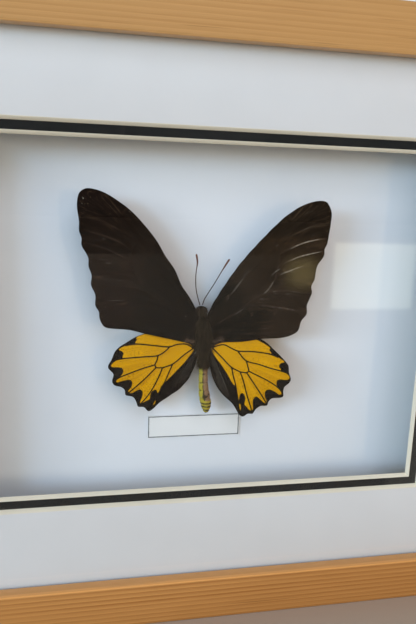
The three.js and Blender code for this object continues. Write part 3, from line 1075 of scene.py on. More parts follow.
@dataclass
class LayeredPack:
    """Glass, two mats with bevelled windows, spacer bars, mount board and back panel."""
    upper_window: Point = (210.0, 160.0)
    lower_window: Point = (200.0, 150.0)
    softness: float = 0.12
    white: Board = Board("white_mat_board", srgb(208, 209, 211), 0.02)
    black: Board = Board("black_mat_board", srgb(34, 35, 35), 0.1, 0.00005)
    core: Board = Board("cream_core", srgb(219, 212, 194), 0.05, 0.00004, 3600.0)
    mount: Board = Board("pale_mount_board", srgb(215, 220, 227), 0.012)
    foam: Board = Board("foam_board", srgb(232, 232, 228), 0.03)

    def mat(self, window: Point, front: float, face: bpy.types.Material,
            core: bpy.types.Material) -> bpy.types.Object:
        """Shapes a mat: a board, cut through by a block that is wider in front by 45 degree slopes.

        Args:
            window: width and height of the window on the face.
            front: Y of the face.
            face: material of the paper.
            core: material of the cut edges.

        Returns:
            The mat.
        """
        case = CASE
        board = block((0, front + case.mat / 2, case.centre_z), (case.pack[0], case.mat, case.pack[1]))
        # the block starts one thickness in front of the mat and ends one behind it, two thicknesses from the
        # face, so that it is smaller there by four thicknesses and larger in front by six more
        wide, high = (size - 4 * case.mat for size in window)
        tool = block((0, front + case.mat / 2, case.window_z), (wide, 3 * case.mat, high))
        bpy.ops.object.mode_set(mode="EDIT")
        pick_faces(tool, lambda look: look.normal.y < -0.9)
        grown = ((wide + 6 * case.mat) / wide, 1, (high + 6 * case.mat) / high)
        bpy.ops.transform.resize(value=grown, center_override=mm(0, front, case.window_z))
        bpy.ops.object.mode_set(mode="OBJECT")
        cut_with(board, tool, "DIFFERENCE")
        with_modifier(board, "BEVEL", width=mm(self.softness)[0], segments=2, limit_method="ANGLE",
                      angle_limit=math.radians(30), harden_normals=False)
        dress(board, face, core)
        dress_cut_faces(board)
        smooth(board, 25)
        return board

    def build(self) -> None:
        """Builds the mats, and dresses the flat pieces that keep their CAD shape."""
        core = self.core.material()
        for node, window, front, face in (("upper_mat", self.upper_window, CASE.upper_mat_y, self.white),
                                          ("lower_mat", self.lower_window, CASE.lower_mat_y, self.black)):
            slot = "white_mat" if face is self.white else "black_mat"
            settle(self.mat(window, front, face.material(), core), node_name(node), slot, node)
        dress_node("glass_pane", ClearGlass().material())
        dress_node("mount_board", self.mount.material())
        dress_node("back_panel", Hardboard().material())
        foam = self.foam.material()
        for edge in Edge:
            dress_node(f"spacer_{edge.name.lower()}", foam)


@dataclass
class BackHardware:
    """Twelve retaining tabs, and a toothed hanger with two domed rivets."""
    tab_size: tuple[float, float, float] = (11.0, 7.0, 0.6)
    tab_corner: float = 1.6
    tab_plate: float = 0.7
    rib_slope: float = 0.5
    tab_easing: float = 0.1
    along_top: int = 4
    along_side: int = 2
    hanger_easing: float = 0.18
    rivet_radius: float = 2.0
    rivet_height: float = 0.6
    rivet_easing: float = 0.3

    def tab(self) -> bpy.types.Object:
        """Shapes one tab along X about the origin, its back face up +Y: rounded corners and a pressed rib.

        Returns:
            The tab.
        """
        length, width, thick = self.tab_size
        plate = thick * self.tab_plate
        tab = block((0, plate / 2, 0), (length, plate, width))
        bpy.ops.object.mode_set(mode="EDIT")
        pick_edges(tab, lambda a, b: abs(a.y - b.y) > WELD)
        bpy.ops.mesh.bevel(offset=mm(self.tab_corner)[0], segments=4, affect="EDGES")
        pick_faces(tab, lambda face: face.normal.y > 0.9)
        bpy.ops.mesh.inset(thickness=mm(self.tab_corner)[0])
        bpy.ops.mesh.inset(thickness=mm(self.rib_slope)[0])
        bpy.ops.transform.translate(value=mm(0, thick - plate, 0))
        bpy.ops.object.mode_set(mode="OBJECT")
        with_modifier(tab, "BEVEL", width=mm(self.tab_easing)[0], segments=2, limit_method="ANGLE",
                      angle_limit=math.radians(50))
        return tab

    def tabs(self, steel: bpy.types.Material) -> None:
        """Copies the tab to each of its nodes.

        Args:
            steel: the material.
        """
        pattern = self.tab()
        for edge in Edge:
            for number in range(1, (self.along_top if edge.level else self.along_side) + 1):
                node = f"tab_{edge.name.lower()}_{number}"
                low, high = (Vector(corner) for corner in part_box(node))
                middle = (low + high) / 2
                tab = linked(node, pattern.data.copy())
                turn = Matrix.Rotation(math.radians(edge.value + 90), 4, "Y")
                tab.data.transform(Matrix.Translation((middle.x, low.y, middle.z)) @ turn)
                dress(tab, steel)
                smooth(tab)
                settle(tab, node_name(node), "steel", node)
        bpy.data.meshes.remove(pattern.data)

    def hanger(self, steel: bpy.types.Material) -> None:
        """Copies the CAD hanger and eases its edges, as stamping leaves them.

        Args:
            steel: the material.
        """
        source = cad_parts["hanger"]
        hanger = linked("hanger_copy", source.data.copy())
        hanger.data.transform(source.matrix_world)
        outward(hanger)
        bpy.ops.object.mode_set(mode="EDIT")
        bpy.ops.mesh.select_all(action="SELECT")
        bpy.ops.mesh.dissolve_limited(angle_limit=math.radians(2))
        bpy.ops.object.mode_set(mode="OBJECT")
        with_modifier(hanger, "BEVEL", width=mm(self.hanger_easing)[0], segments=2, limit_method="ANGLE",
                      angle_limit=math.radians(40))
        dress(hanger, steel)
        smooth(hanger)
        settle(hanger, node_name("hanger"), "steel", "hanger")

    def rivets(self, steel: bpy.types.Material) -> None:
        """Shapes the two rivet heads: a disc with a rounded top edge and a dimple.

        Args:
            steel: the material.
        """
        for side in ("left", "right"):
            node = f"hanger_rivet_{side}"
            low, high = (Vector(corner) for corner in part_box(node))
            deselect()
            bpy.ops.mesh.primitive_cylinder_add(
                vertices=32, radius=mm(self.rivet_radius)[0], depth=mm(self.rivet_height)[0],
                location=(low + high) / 2, rotation=(math.pi / 2, 0, 0))
            rivet = bpy.context.object
            bpy.ops.object.transform_apply(location=True, rotation=True, scale=True)
            bpy.ops.object.mode_set(mode="EDIT")
            pick_faces(rivet, lambda face: face.normal.y > 0.9)
            bpy.ops.mesh.inset(thickness=mm(self.rivet_radius * 0.55)[0])
            bpy.ops.transform.translate(value=mm(0, -self.rivet_height * 0.4, 0))
            bpy.ops.object.mode_set(mode="OBJECT")
            with_modifier(rivet, "BEVEL", width=mm(self.rivet_easing)[0], segments=4, limit_method="ANGLE",
                          angle_limit=math.radians(60))
            dress(rivet, steel)
            smooth(rivet, 50)
            settle(rivet, node_name(node), "steel", node)

    def build(self) -> None:
        """Builds all the steel."""
        steel = ZincSteel().material()
        self.tabs(steel)
        self.hanger(steel)
        self.rivets(steel)


@dataclass
class LabelCard:
    """A plain card with a printed border, flat on the mount board under the specimen."""
    corner: float = 0.15
    bow: float = 0.12

    def build(self) -> None:
        """Shapes the card from a cuboid, bowed a little at its ends, and dresses it."""
        low, high = (Vector(corner) * 1000 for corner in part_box("label_card"))
        middle, size = (low + high) / 2, high - low
        card = block(middle, (size.x, size.y * 0.75, size.z))
        bpy.ops.object.mode_set(mode="EDIT")
        pick_edges(card, lambda a, b: abs(a.y - b.y) > WELD)
        bpy.ops.mesh.bevel(offset=mm(self.corner)[0], segments=2, affect="EDGES")
        bpy.ops.mesh.select_all(action="SELECT")
        bpy.ops.mesh.subdivide(number_cuts=6)
        bpy.ops.object.mode_set(mode="OBJECT")
        points = points_of(card)
        across = (points[:, 0] * 1000 - middle.x) / (size.x / 2)
        points[:, 1] += mm(self.bow)[0] * (0.4 - across ** 2)
        move_points(card, points)
        paper = PrintedCard("label_paper", srgb(222, 225, 227), 0.02, centre=(middle.x, middle.z),
                            size=(size.x, size.z))
        dress(card, paper.material())
        settle(card, node_name("label_card"), "label_card", "label_card")


# The butterfly


@dataclass(frozen=True)
class Vein:
    """One vein of a wing: its route, and how pale the scales beside it are."""
    route: tuple[Point, ...]
    pale: float = 0.0


RIGHT_FOREWING_VEINS = (
    Vein(((2.5, 2.4), (8.9, 12.8), (20.7, 28.7), (33.3, 43.4)), 0.1),
    Vein(((3.0, 0.5), (8.9, 8.3), (14.8, 15.5), (20.7, 22.2), (26.5, 28.8), (30.4, 32.9)), 0.2),
    Vein(((20.7, 22.2), (30.4, 34.9), (38.1, 44.5), (43.9, 50.8)), 0.08),
    Vein(((26.5, 28.8), (36.2, 40.0), (44.8, 48.0), (49.6, 51.8)), 0.1),
    Vein(((30.4, 32.9), (40.0, 42.0), (47.7, 46.5), (53.0, 48.6)), 0.15),
    Vein(((30.4, 32.9), (36.2, 37.0), (43.9, 40.7), (53.4, 42.4)), 0.25),
    Vein(((30.4, 32.9), (32.1, 28.9), (31.9, 23.9), (30.2, 17.8), (25.6, 11.2)), 0.35),
    # The paleness beside the next two veins is partly a painted highlight along them, partly pale scales.
    Vein(((32.1, 28.9), (37.2, 32.5), (43.9, 34.8), (53.1, 36.9)), 0.95),
    Vein(((31.9, 23.9), (37.2, 26.9), (43.9, 29.4), (51.8, 31.1)), 0.85),
    Vein(((31.0, 20.3), (36.2, 22.1), (42.0, 24.0), (48.9, 24.3)), 0.5),
    Vein(((30.2, 17.8), (38.1, 18.6), (48.3, 18.4)), 0.2),
    Vein(((25.6, 11.2), (30.4, 12.8), (38.1, 13.1), (47.3, 11.9)), 0.4),
    Vein(((17.7, 5.9), (25.6, 6.4), (35.2, 5.4), (45.5, 2.5)), 0.45),
    Vein(((3.5, -3.6), (10.9, 0.7), (17.7, 5.9), (25.6, 11.2)), 0.3),
    Vein(((4.0, -7.1), (15.8, -6.8), (30.4, -5.8), (42.0, -4.8)), 0.2),
)


@dataclass(frozen=True)
class Glint:
    """A pale streak on a wing and how strong it is: along the veins a painted highlight, where raised veins
    catch the light; the short spots are chips where scales are rubbed off.
    """
    strength: float
    route: tuple[Point, ...]


# Most glints along the veins are painted highlights; the short spots are chips and pale specks.
RIGHT_FOREWING_GLINTS = (
    Glint(1.0, ((36.7, 31.5), (40.0, 33.4), (43.9, 34.9), (49.4, 36.3))),
    Glint(1.0, ((36.7, 26.3), (40.0, 28.0), (43.9, 29.2), (50.1, 30.7))),
    Glint(0.8, ((28.9, 19.6), (31.4, 22.0), (33.1, 22.8))),
    Glint(0.8, ((32.3, 19.8), (35.2, 21.4), (39.1, 23.0), (42.9, 24.3))),
    Glint(0.8, ((25.6, 11.7), (27.5, 12.9), (28.9, 15.0), (30.4, 17.8))),
    Glint(0.5, ((24.6, 10.6), (27.5, 12.2), (33.3, 13.0), (40.0, 12.7), (45.8, 11.4))),
    Glint(0.45, ((25.6, 11.0), (32.3, 11.8), (38.1, 11.6), (44.8, 10.1))),
    Glint(0.55, ((18.7, 5.5), (22.6, 6.3), (28.5, 5.9), (38.1, 4.9), (44.8, 3.7))),
    Glint(0.6, ((12.8, 1.3), (15.8, 3.4), (18.7, 5.5))),
    Glint(0.5, ((9.4, 7.3), (11.4, 10.3))),
    Glint(0.6, ((10.9, 9.8), (14.8, 15.0), (16.8, 18.0))),
    Glint(0.5, ((12.4, 12.4), (17.7, 19.6))),
    Glint(0.5, ((13.8, 16.5), (19.7, 22.1))),
    Glint(0.7, ((23.1, 9.0), (25.1, 9.2), (27.5, 9.1), (28.5, 9.5))),
    Glint(0.4, ((43.9, 35.8), (47.2, 38.5), (51.5, 40.3))),
    Glint(0.4, ((39.1, 38.5), (43.9, 41.0), (49.6, 42.9))),
    Glint(0.4, ((41.0, 46.5), (46.7, 48.5))),
    Glint(0.4, ((25.6, -3.9), (28.5, -4.2))),
    Glint(0.6, ((34.3, 20.9), (40.0, 22.6))),
)

LEFT_FOREWING_GLINTS = (
    Glint(0.5, ((-47.0, 25.8), (-35.9, 26.0))),
    Glint(0.45, ((-48.0, 24.1), (-33.8, 24.7))),
    Glint(0.5, ((-48.0, 16.8), (-39.9, 17.3), (-30.8, 16.2))),
    Glint(0.45, ((-47.0, 15.2), (-37.9, 15.6), (-28.7, 15.0))),
    Glint(0.4, ((-46.0, 8.5), (-32.8, 8.7))),
    Glint(0.45, ((-26.7, 23.9), (-23.7, 19.5), (-19.1, 12.9))),
    Glint(0.5, ((-20.4, 12.8), (-17.5, 9.2))),
    Glint(1.0, ((-51.8, 51.0), (-51.3, 50.0))),
    Glint(0.8, ((-52.2, 48.6), (-51.8, 48.1))),
    Glint(0.8, ((-33.1, 45.9), (-32.4, 45.2))),
    Glint(0.4, ((-43.9, 37.4), (-43.1, 32.8))),
    Glint(0.35, ((-48.0, 32.9), (-37.9, 35.3))),
)

RIGHT_HINDWING_GLINTS = (
    Glint(0.75, ((3.4, -15.6), (6.2, -19.7), (9.7, -27.6), (14.2, -38.1))),
    Glint(0.6, ((30.5, -18.5), (32.3, -19.4))),
)

LEFT_HINDWING_GLINTS = (
    Glint(1.0, ((-2.3, -15.1), (-4.2, -17.8), (-6.0, -20.0))),
    Glint(0.4, ((-6.0, -20.0), (-9.5, -24.5), (-13.0, -29.5))),
    Glint(0.8, ((-31.9, -13.9), (-28.9, -14.1))),
)

RIGHT_HINDWING_VEINS = (
    Vein(((4.6, -13.4), (9.6, -12.0), (13.1, -13.5), (16.0, -14.7), (22.9, -14.9), (31.2, -16.2),
          (34.5, -17.6))),
    Vein(((16.0, -14.7), (17.5, -16.7), (20.0, -19.2), (25.8, -20.8), (30.7, -22.4), (35.8, -23.8),
          (39.6, -25.0))),
    Vein(((20.0, -19.2), (20.9, -22.0), (21.3, -24.0), (20.4, -24.7), (17.5, -24.4))),
    Vein(((21.3, -24.0), (25.8, -26.2), (30.7, -28.7), (35.7, -32.2), (38.2, -35.5))),
    Vein(((20.4, -24.7), (24.8, -31.0), (30.2, -39.1), (30.8, -40.4))),
    Vein(((17.5, -24.4), (19.0, -28.2), (20.9, -34.7), (23.6, -42.4), (24.2, -44.5))),
    Vein(((13.5, -22.3), (14.5, -26.3), (15.8, -30.9), (18.4, -44.5))),
    Vein(((5.1, -13.9), (9.1, -17.9), (13.5, -22.3), (17.5, -24.4))),
)

LEFT_HINDWING_VEINS = (
    Vein(((-4.0, -13.5), (-7.1, -11.7), (-11.2, -11.6), (-14.6, -12.5), (-21.5, -11.7), (-29.8, -10.8),
          (-34.0, -11.4))),
    Vein(((-14.6, -12.5), (-16.4, -14.3), (-19.7, -16.2), (-26.6, -16.6), (-35.2, -17.1), (-39.5, -18.0))),
    Vein(((-19.7, -16.2), (-20.1, -18.3), (-21.0, -20.4), (-20.4, -21.6), (-17.6, -21.9))),
    Vein(((-21.0, -20.4), (-26.6, -21.9), (-35.8, -25.3), (-39.3, -27.4))),
    Vein(((-20.4, -21.6), (-25.6, -26.8), (-32.1, -32.6), (-33.6, -33.9))),
    Vein(((-17.6, -21.9), (-19.4, -26.4), (-22.5, -32.4), (-26.6, -37.9), (-28.1, -39.5))),
    Vein(((-13.1, -20.4), (-14.8, -24.5), (-16.7, -29.0), (-23.4, -41.5))),
    Vein(((-4.0, -13.8), (-8.1, -16.5), (-13.1, -20.4), (-17.6, -21.9))),
)

RIGHT_GOLD = (
    (4.3, -13.6), (6.1, -12.4), (10.1, -10.2), (20.9, -8.4), (25.8, -10.3), (28.7, -11.9), (30.7, -13.4),
    (30.3, -14.4), (31.1, -15.2), (31.7, -16.5), (33.6, -17.0), (35.5, -18.2), (37.8, -20.0), (36.1, -20.3),
    (35.1, -21.3), (35.1, -22.0), (35.9, -23.0), (35.8, -23.8), (38.4, -24.9), (40.4, -26.9), (40.2, -27.9),
    (38.4, -28.2), (36.0, -27.9), (34.7, -28.3), (34.3, -29.6), (34.9, -31.6), (35.7, -32.2), (37.1, -34.7),
    (36.4, -35.3), (33.6, -33.6), (31.7, -32.8), (30.2, -32.9), (29.3, -34.1), (29.5, -36.3), (30.5, -38.7),
    (29.9, -39.4), (27.8, -37.9), (26.3, -36.5), (25.4, -36.1), (24.3, -37.1), (24.0, -38.6), (24.4, -42.3),
    (24.1, -42.9), (22.9, -42.8), (21.4, -41.2), (20.3, -39.8), (20.6, -37.7), (20.3, -36.0), (19.4, -34.6),
    (18.6, -34.5), (17.8, -35.8), (17.6, -37.9), (16.8, -34.3), (16.0, -31.1), (14.8, -30.4), (12.1, -25.9),
    (9.1, -21.4), (6.1, -17.5), (4.2, -14.3),
)

LEFT_GOLD = (
    (-4.2, -13.2), (-5.0, -12.3), (-8.1, -10.4), (-14.3, -7.7), (-23.5, -6.2), (-26.6, -7.0), (-29.2, -8.3),
    (-28.9, -9.2), (-29.6, -9.8), (-29.8, -10.8), (-32.7, -11.2), (-35.0, -12.1), (-36.7, -13.2),
    (-35.3, -14.0), (-34.6, -14.9), (-35.0, -15.8), (-35.2, -16.9), (-37.8, -18.0), (-40.0, -20.1),
    (-39.7, -20.7), (-37.3, -20.9), (-35.4, -21.3), (-34.7, -22.5), (-35.1, -24.0), (-35.9, -25.0),
    (-37.8, -27.5), (-37.1, -27.8), (-34.8, -27.2), (-32.7, -26.8), (-31.3, -27.1), (-30.7, -28.5),
    (-31.2, -30.2), (-32.5, -32.2), (-31.2, -33.1), (-28.7, -31.8), (-27.3, -31.5), (-26.3, -32.3),
    (-26.1, -33.9), (-27.0, -36.9), (-27.1, -37.8), (-26.5, -38.0), (-24.6, -37.0), (-23.0, -36.2),
    (-22.8, -33.9), (-22.0, -32.4), (-20.5, -31.9), (-20.0, -32.2), (-19.3, -33.7), (-18.1, -30.5),
    (-16.7, -29.0), (-14.8, -27.2), (-10.2, -22.6), (-6.6, -18.6), (-3.7, -14.4),
)


@dataclass
class Wing:
    """One wing: a thin membrane that rises from the body to its tip, pleated between raised veins."""
    node: str
    outline: tuple[Point, ...]
    veins: tuple[Vein, ...]
    root: Point
    rise: float
    glints: tuple[Glint, ...]
    drop: float = 0.0
    gold: tuple[tuple[Point, ...], ...] = ()
    brown_from: Point = (12.0, 34.0)
    mesh_step: float = 0.35
    thickness: float = 0.24
    root_depth: float = 12.9
    vein_height: float = 0.13
    vein_spread: float = 0.35
    pleat: float = 0.22
    camber: float = 0.5
    glint_reach: float = 0.26

    def sheet(self) -> bpy.types.Object:
        """Cuts a fine flat sheet to the wing's outline.

        Returns:
            The sheet.
        """
        loop = through(self.outline, 6, closed=True)
        low, high = loop.min(axis=0) - 1, loop.max(axis=0) + 1
        middle, size = (low + high) / 2, high - low
        deselect()
        columns, rows = (int(length / self.mesh_step) for length in size)
        bpy.ops.mesh.primitive_grid_add(
            x_subdivisions=columns, y_subdivisions=rows, size=1,
            location=mm(middle[0], 0, CASE.window_z + middle[1]), rotation=(math.pi / 2, 0, 0))
        sheet = bpy.context.object
        sheet.scale = mm(size[0], size[1], 1000)
        bpy.ops.object.transform_apply(location=True, rotation=True, scale=True)
        with_modifier(sheet, "SOLIDIFY", thickness=mm(self.thickness)[0], offset=0)
        deselect()
        bpy.ops.mesh.primitive_circle_add(vertices=len(loop), fill_type="NGON")
        tool = bpy.context.object
        rim = np.column_stack([loop[:, 0], np.full(len(loop), -4.0), CASE.window_z + loop[:, 1]]) * 0.001
        move_points(tool, rim)
        bpy.ops.object.mode_set(mode="EDIT")
        bpy.ops.mesh.select_all(action="SELECT")
        bpy.ops.mesh.extrude_region_move(TRANSFORM_OT_translate={"value": mm(0, 8, 0)})
        bpy.ops.object.mode_set(mode="OBJECT")
        outward(tool)
        cut_with(sheet, tool, "INTERSECT")
        return sheet

    def places(self, sheet: bpy.types.Object) -> np.ndarray:
        """Places of a sheet's corner points in the plane of the outline, in millimetres."""
        points = points_of(sheet) * 1000
        return np.column_stack([points[:, 0], points[:, 2] - CASE.window_z])

    def carry_pattern(self, sheet: bpy.types.Object) -> np.ndarray:
        """Stores on each point how it lies among the veins and fields.

        Args:
            sheet: the flat sheet.

        Returns:
            The distance of each point to a vein, in millimetres.
        """
        places = self.places(sheet)
        vein = np.full(len(places), 99.0)
        pale, weights, ranks = (np.zeros(len(places)) for _ in range(3))
        for rank, each in enumerate(self.veins):
            away, along = distance_to(through(each.route, 6), places)
            nearer = away < vein
            vein[nearer] = away[nearer]
            fading = np.clip(along * 3, 0, 1) * np.clip((1 - along) * 5, 0.2, 1)
            pale[nearer] = (each.pale * fading)[nearer]
            closeness = 1 / (away + 0.3) ** 2
            weights += closeness
            ranks += closeness * rank
        inside = np.full(len(places), -9.0)
        for loop in self.gold:
            inside = np.maximum(inside, depth_inside(through(loop, 3, closed=True), places))
        # Distance to the nearest glint, mostly painted highlights along the veins.
        glint = np.full(len(places), 9.0)
        for each in self.glints:
            away, along = distance_to(through(each.route, 6), places)
            taper = 0.12 * (np.abs(along - 0.5) * 2) ** 3
            glint = np.minimum(glint, away + taper + (1 - each.strength) * self.glint_reach)
        offset = places - np.array(self.root)
        reach = np.hypot(offset[:, 0], offset[:, 1])
        start, end = self.brown_from
        outer = np.clip((reach - start) / (end - start), 0, 1)
        fan = np.column_stack([ranks / weights, reach, np.zeros(len(places))])
        pattern = {"vein": vein, "pale": pale, "gold": inside, "fan": fan, "glint": glint, "outer": outer}
        for name, values in pattern.items():
            carry(sheet, name, values)
        return vein

    def form(self, sheet: bpy.types.Object, vein: np.ndarray) -> None:
        """Gives the sheet its slope, camber, pleats, raised veins and a slightly wavy margin.

        Args:
            sheet: the flat sheet.
            vein: the distance of each point to a vein.
        """
        places = self.places(sheet)
        out = np.abs(places[:, 0])
        margin = depth_inside(through(self.outline, 6, closed=True), places)
        slope = self.root_depth + self.drop - self.rise * out
        bulge = self.camber * np.sin(np.clip(margin / 9, 0, 1) * math.pi / 2)
        pleats = self.pleat * (1 - np.exp(-(vein / 1.6) ** 2)) * np.clip(out / 8, 0, 1)
        raised = self.vein_height * np.exp(-(vein / self.vein_spread) ** 2)
        wave = 0.25 * np.sin(places[:, 1] * 0.9 + places[:, 0] * 0.35) * np.exp(-margin / 3)
        points = points_of(sheet)
        points[:, 1] += mm(CASE.lower_mat_y)[0] + (slope - bulge + pleats - raised + wave) * 0.001
        move_points(sheet, points)

    def build(self, scales: bpy.types.Material) -> None:
        """Builds and dresses the wing.

        Args:
            scales: its material.
        """
        sheet = self.sheet()
        vein = self.carry_pattern(sheet)
        self.form(sheet, vein)
        dress(sheet, scales)
        smooth(sheet, 50)
        kind = "hindwing" if self.node.endswith("hindwing") else "forewing"
        settle(sheet, node_name(self.node), kind, self.node)


def mirrored_veins(veins: Sequence[Vein], root: Point, top: float, bottom: float) -> tuple[Vein, ...]:
    """Veins of the right wing, mirrored to the left and fanned out a little more.

    Args:
        veins: veins of the right wing.
        root: the place on the right that they fan out from.
        top: degrees by which the left wing's upper edge is turned up.
        bottom: degrees by which its lower edge is.

    Returns:
        The veins of the left wing.
    """
    result = []
    for vein in veins:
        route = []
        for x, z in vein.route:
            reach = math.hypot(x - root[0], z - root[1])
            angle = math.degrees(math.atan2(z - root[1], x - root[0]))
            share = min(max((angle + 2) / 52, 0), 1)
            angle = math.radians(angle + bottom + (top - bottom) * share)
            route.append((-root[0] - reach * math.cos(angle), root[1] + reach * math.sin(angle)))
        result.append(replace(vein, route=tuple(route), pale=vein.pale * 0.45))
    return tuple(result)


class Coat(Enum):
    """Kinds of hair on the insect: root colour and tip colour."""
    THORAX = (srgb(5, 4, 2), srgb(72, 60, 42))
    WING_BASE = (srgb(58, 46, 37), srgb(132, 106, 86))
    FOLD = (srgb(20, 18, 15), srgb(84, 76, 66))


@dataclass
class Fur:
    """Separate tapering hairs, each a thin three-sided spike that bends down."""
    coat: Coat
    thickness: float = 0.07
    bend: float = 0.35

    def build(self, name: str, roots: np.ndarray, ways: np.ndarray, lengths: np.ndarray) -> None:
        """Builds one piece of fur.

        Args:
            name: name of the piece.
            roots: where the hairs start, in millimetres of the case.
            ways: the unit direction of each.
            lengths: the length of each, in millimetres.
        """
        count = len(roots)
        side = np.cross(ways, np.array([0.31, 0.52, 0.79]))
        side /= np.linalg.norm(side, axis=1, keepdims=True)
        other = np.cross(ways, side)
        droop = np.array([0, 0, -1])
        rings = []
        for share, width in ((0.0, 1.0), (0.5, 0.8)):
            middle = roots + ways * (lengths * share)[:, None]
            middle += droop * (self.bend * lengths * share ** 2)[:, None]
            for turn in range(3):
                angle = 2 * math.pi * turn / 3
                outwards = side * math.cos(angle) + other * math.sin(angle)
                rings.append(middle + outwards * self.thickness * width / 2)
        tips = roots + ways * lengths[:, None] + droop * (self.bend * lengths)[:, None]
        points = np.stack([*rings, tips], axis=1).reshape(-1, 3) * 0.001
        faces = []
        for hair in range(count):
            first = hair * 7
            faces.append((first + 2, first + 1, first))
            for turn in range(3):
                after = (turn + 1) % 3
                faces.append((first + turn, first + after, first + 3 + after, first + 3 + turn))
                faces.append((first + 3 + turn, first + 3 + after, first + 6))
        fur = mesh_from(name, points, faces)
        carry(fur, "along", np.tile([0, 0, 0, 0.5, 0.5, 0.5, 1.0], count))
        dress(fur, Hair(f"{name}_colour", *self.coat.value).material())
        smooth(fur, 80)
        settle(fur, name, "insect_body")


@dataclass
class Body:
    """Head, thorax and ringed abdomen in one, with eyes and fur."""
    # z, x and depth of the middle, half width and half thickness, from the head down
    sections: tuple[tuple[float, ...], ...] = (
        (5.3, -0.6, 14.2, 0.6, 0.7), (4.9, -0.6, 14.2, 1.3, 1.4), (3.9, -0.5, 14.3, 1.8, 1.8),
        (2.6, -0.4, 14.4, 1.8, 1.8), (1.4, -0.1, 14.7, 1.4, 1.6), (0.2, 0.1, 15.0, 2.5, 2.6),
        (-2.0, 0.3, 15.4, 3.5, 3.6), (-6.0, 0.7, 15.6, 3.9, 4.2), (-11.0, 1.0, 15.5, 3.7, 4.1),
        (-15.0, 1.2, 15.2, 2.9, 3.3), (-18.0, 1.4, 15.0, 2.0, 2.4), (-21.0, 1.4, 15.0, 1.9, 2.2),
        (-26.0, 1.5, 15.1, 1.9, 2.2), (-32.0, 1.8, 15.2, 2.1, 2.3), (-37.5, 2.6, 15.3, 2.5, 2.5),
        (-41.0, 3.3, 15.4, 2.3, 2.3), (-43.6, 3.4, 15.4, 1.5, 1.6), (-45.1, 3.4, 15.4, 0.6, 0.7))
    sides: int = 40
    rings: int = 150
    joints: tuple[float, ...] = (-18.5, -22.3, -26.1, -30.0, -33.9, -37.6, -41.0, -43.4)
    groove: float = 0.17
    swell: float = 0.1
    fur_end: float = -22.8
    thorax_end: float = -23.8
    back_edge: float = -0.28
    rings_start: float = -38.4
    tail_rings: tuple[float, ...] = (-39.9, -41.6, -43.4, -44.6)
    # side from -1 to 1, z and reach of each dark spot
    spots: tuple[tuple[float, float, float], ...] = (
        (0.05, -36.4, 0.55), (-0.72, -30.2, 0.16), (-0.82, -33.6, 0.2), (-0.7, -27.0, 0.1),
        (0.02, -29.0, 0.12), (0.0, -25.6, 0.1), (0.7, -35.4, 0.22), (0.75, -31.0, 0.14))
    eye_radius: float = 1.05
    eyes: tuple[tuple[float, float, float], ...] = ((-1.95, 3.4, 13.5), (0.95, 3.4, 13.5))
    hairs: int = 7500

    def section_at(self, heights: np.ndarray) -> np.ndarray:
        """X, depth, half width and half thickness at heights, smoothly between the sections.

        Args:
            heights: heights from the middle of the windows.

        Returns:
            One row for each height.
        """
        table = np.array(self.sections)[::-1]
        curve = through([tuple(row) for row in table], 12)
        return np.column_stack([np.interp(heights, curve[:, 0], curve[:, column]) for column in (1, 2, 3, 4)])

    def joint_at(self, heights: np.ndarray) -> np.ndarray:
        """How near heights are to a joint of the abdomen, 1 in its groove."""
        return sum(np.exp(-((heights - joint) / 0.42) ** 2) for joint in self.joints)

    def trunk(self) -> bpy.types.Object:
        """Shapes the trunk from a sphere drawn out along the sections.

        Returns:
            The trunk.
        """
        deselect()
        bpy.ops.mesh.primitive_uv_sphere_add(segments=self.sides, ring_count=self.rings, radius=1)
        trunk = bpy.context.object
        unit = points_of(trunk)
        top, bottom = self.sections[0][0], self.sections[-1][0]
        level = 0.5 - 0.5 * np.arcsin(np.clip(unit[:, 2], -1, 1)) / (math.pi / 2)
        heights = top + (bottom - top) * level
        x, depth, across, thick = self.section_at(heights).T
        round_off = np.sqrt(np.clip(np.minimum(top - heights, heights - bottom) / 0.5, 0, 1))
        turn = np.arctan2(unit[:, 1], unit[:, 0])
        joint = self.joint_at(heights)
        lumps = 1 - self.groove * joint * 0.6 + self.swell * (heights < -17) * np.clip(1 - joint, 0, 1) * 0.5
        radius = round_off * lumps
        points = np.column_stack([x + across * radius * np.cos(turn),
                                  CASE.lower_mat_y + depth + thick * radius * np.sin(turn),
                                  CASE.window_z + heights])
        move_points(trunk, points * 0.001)
        self.paint(trunk, heights, np.cos(turn), np.sin(turn) < 0)
        outward(trunk)
        return trunk

    def paint(self, trunk: bpy.types.Object, heights: np.ndarray, side: np.ndarray,
              front: np.ndarray) -> None:
        """Stores how the abdomen is coloured.

        Args:
            trunk: the trunk.
            heights: the height of each point, from the middle of the windows.
            side: how far each point lies to the right, from -1 to 1.
            front: which points look towards the glass.
        """
        def bump(value: np.ndarray, middle: float, reach: float) -> np.ndarray:
            """A soft bump, 1 in its middle."""
            return np.exp(-((value - middle) / reach) ** 2)

        back = 1 / (1 + np.exp(-(side - self.back_edge) / 0.12)) * (heights > self.rings_start)
        seam = 0.75 * bump(side, self.back_edge, 0.17) * (heights > self.rings_start)
        lines = 0.5 * sum(bump(heights, joint, 0.2) for joint in self.joints) * (heights > self.rings_start)
        rings = sum(bump(heights, ring, 0.42) for ring in self.tail_rings)
        spots = sum(bump(side, x, reach) * bump(heights, z, reach * 1.6) for x, z, reach in self.spots)
        mark = np.where(front, np.clip(seam + lines + rings + spots, 0, 1), np.clip(lines + rings, 0, 1))
        carry(trunk, "back", np.where(front, back, 0.0))
        carry(trunk, "mark", mark)
        carry(trunk, "thorax", 1 / (1 + np.exp(-(heights - self.thorax_end) / 0.5)))

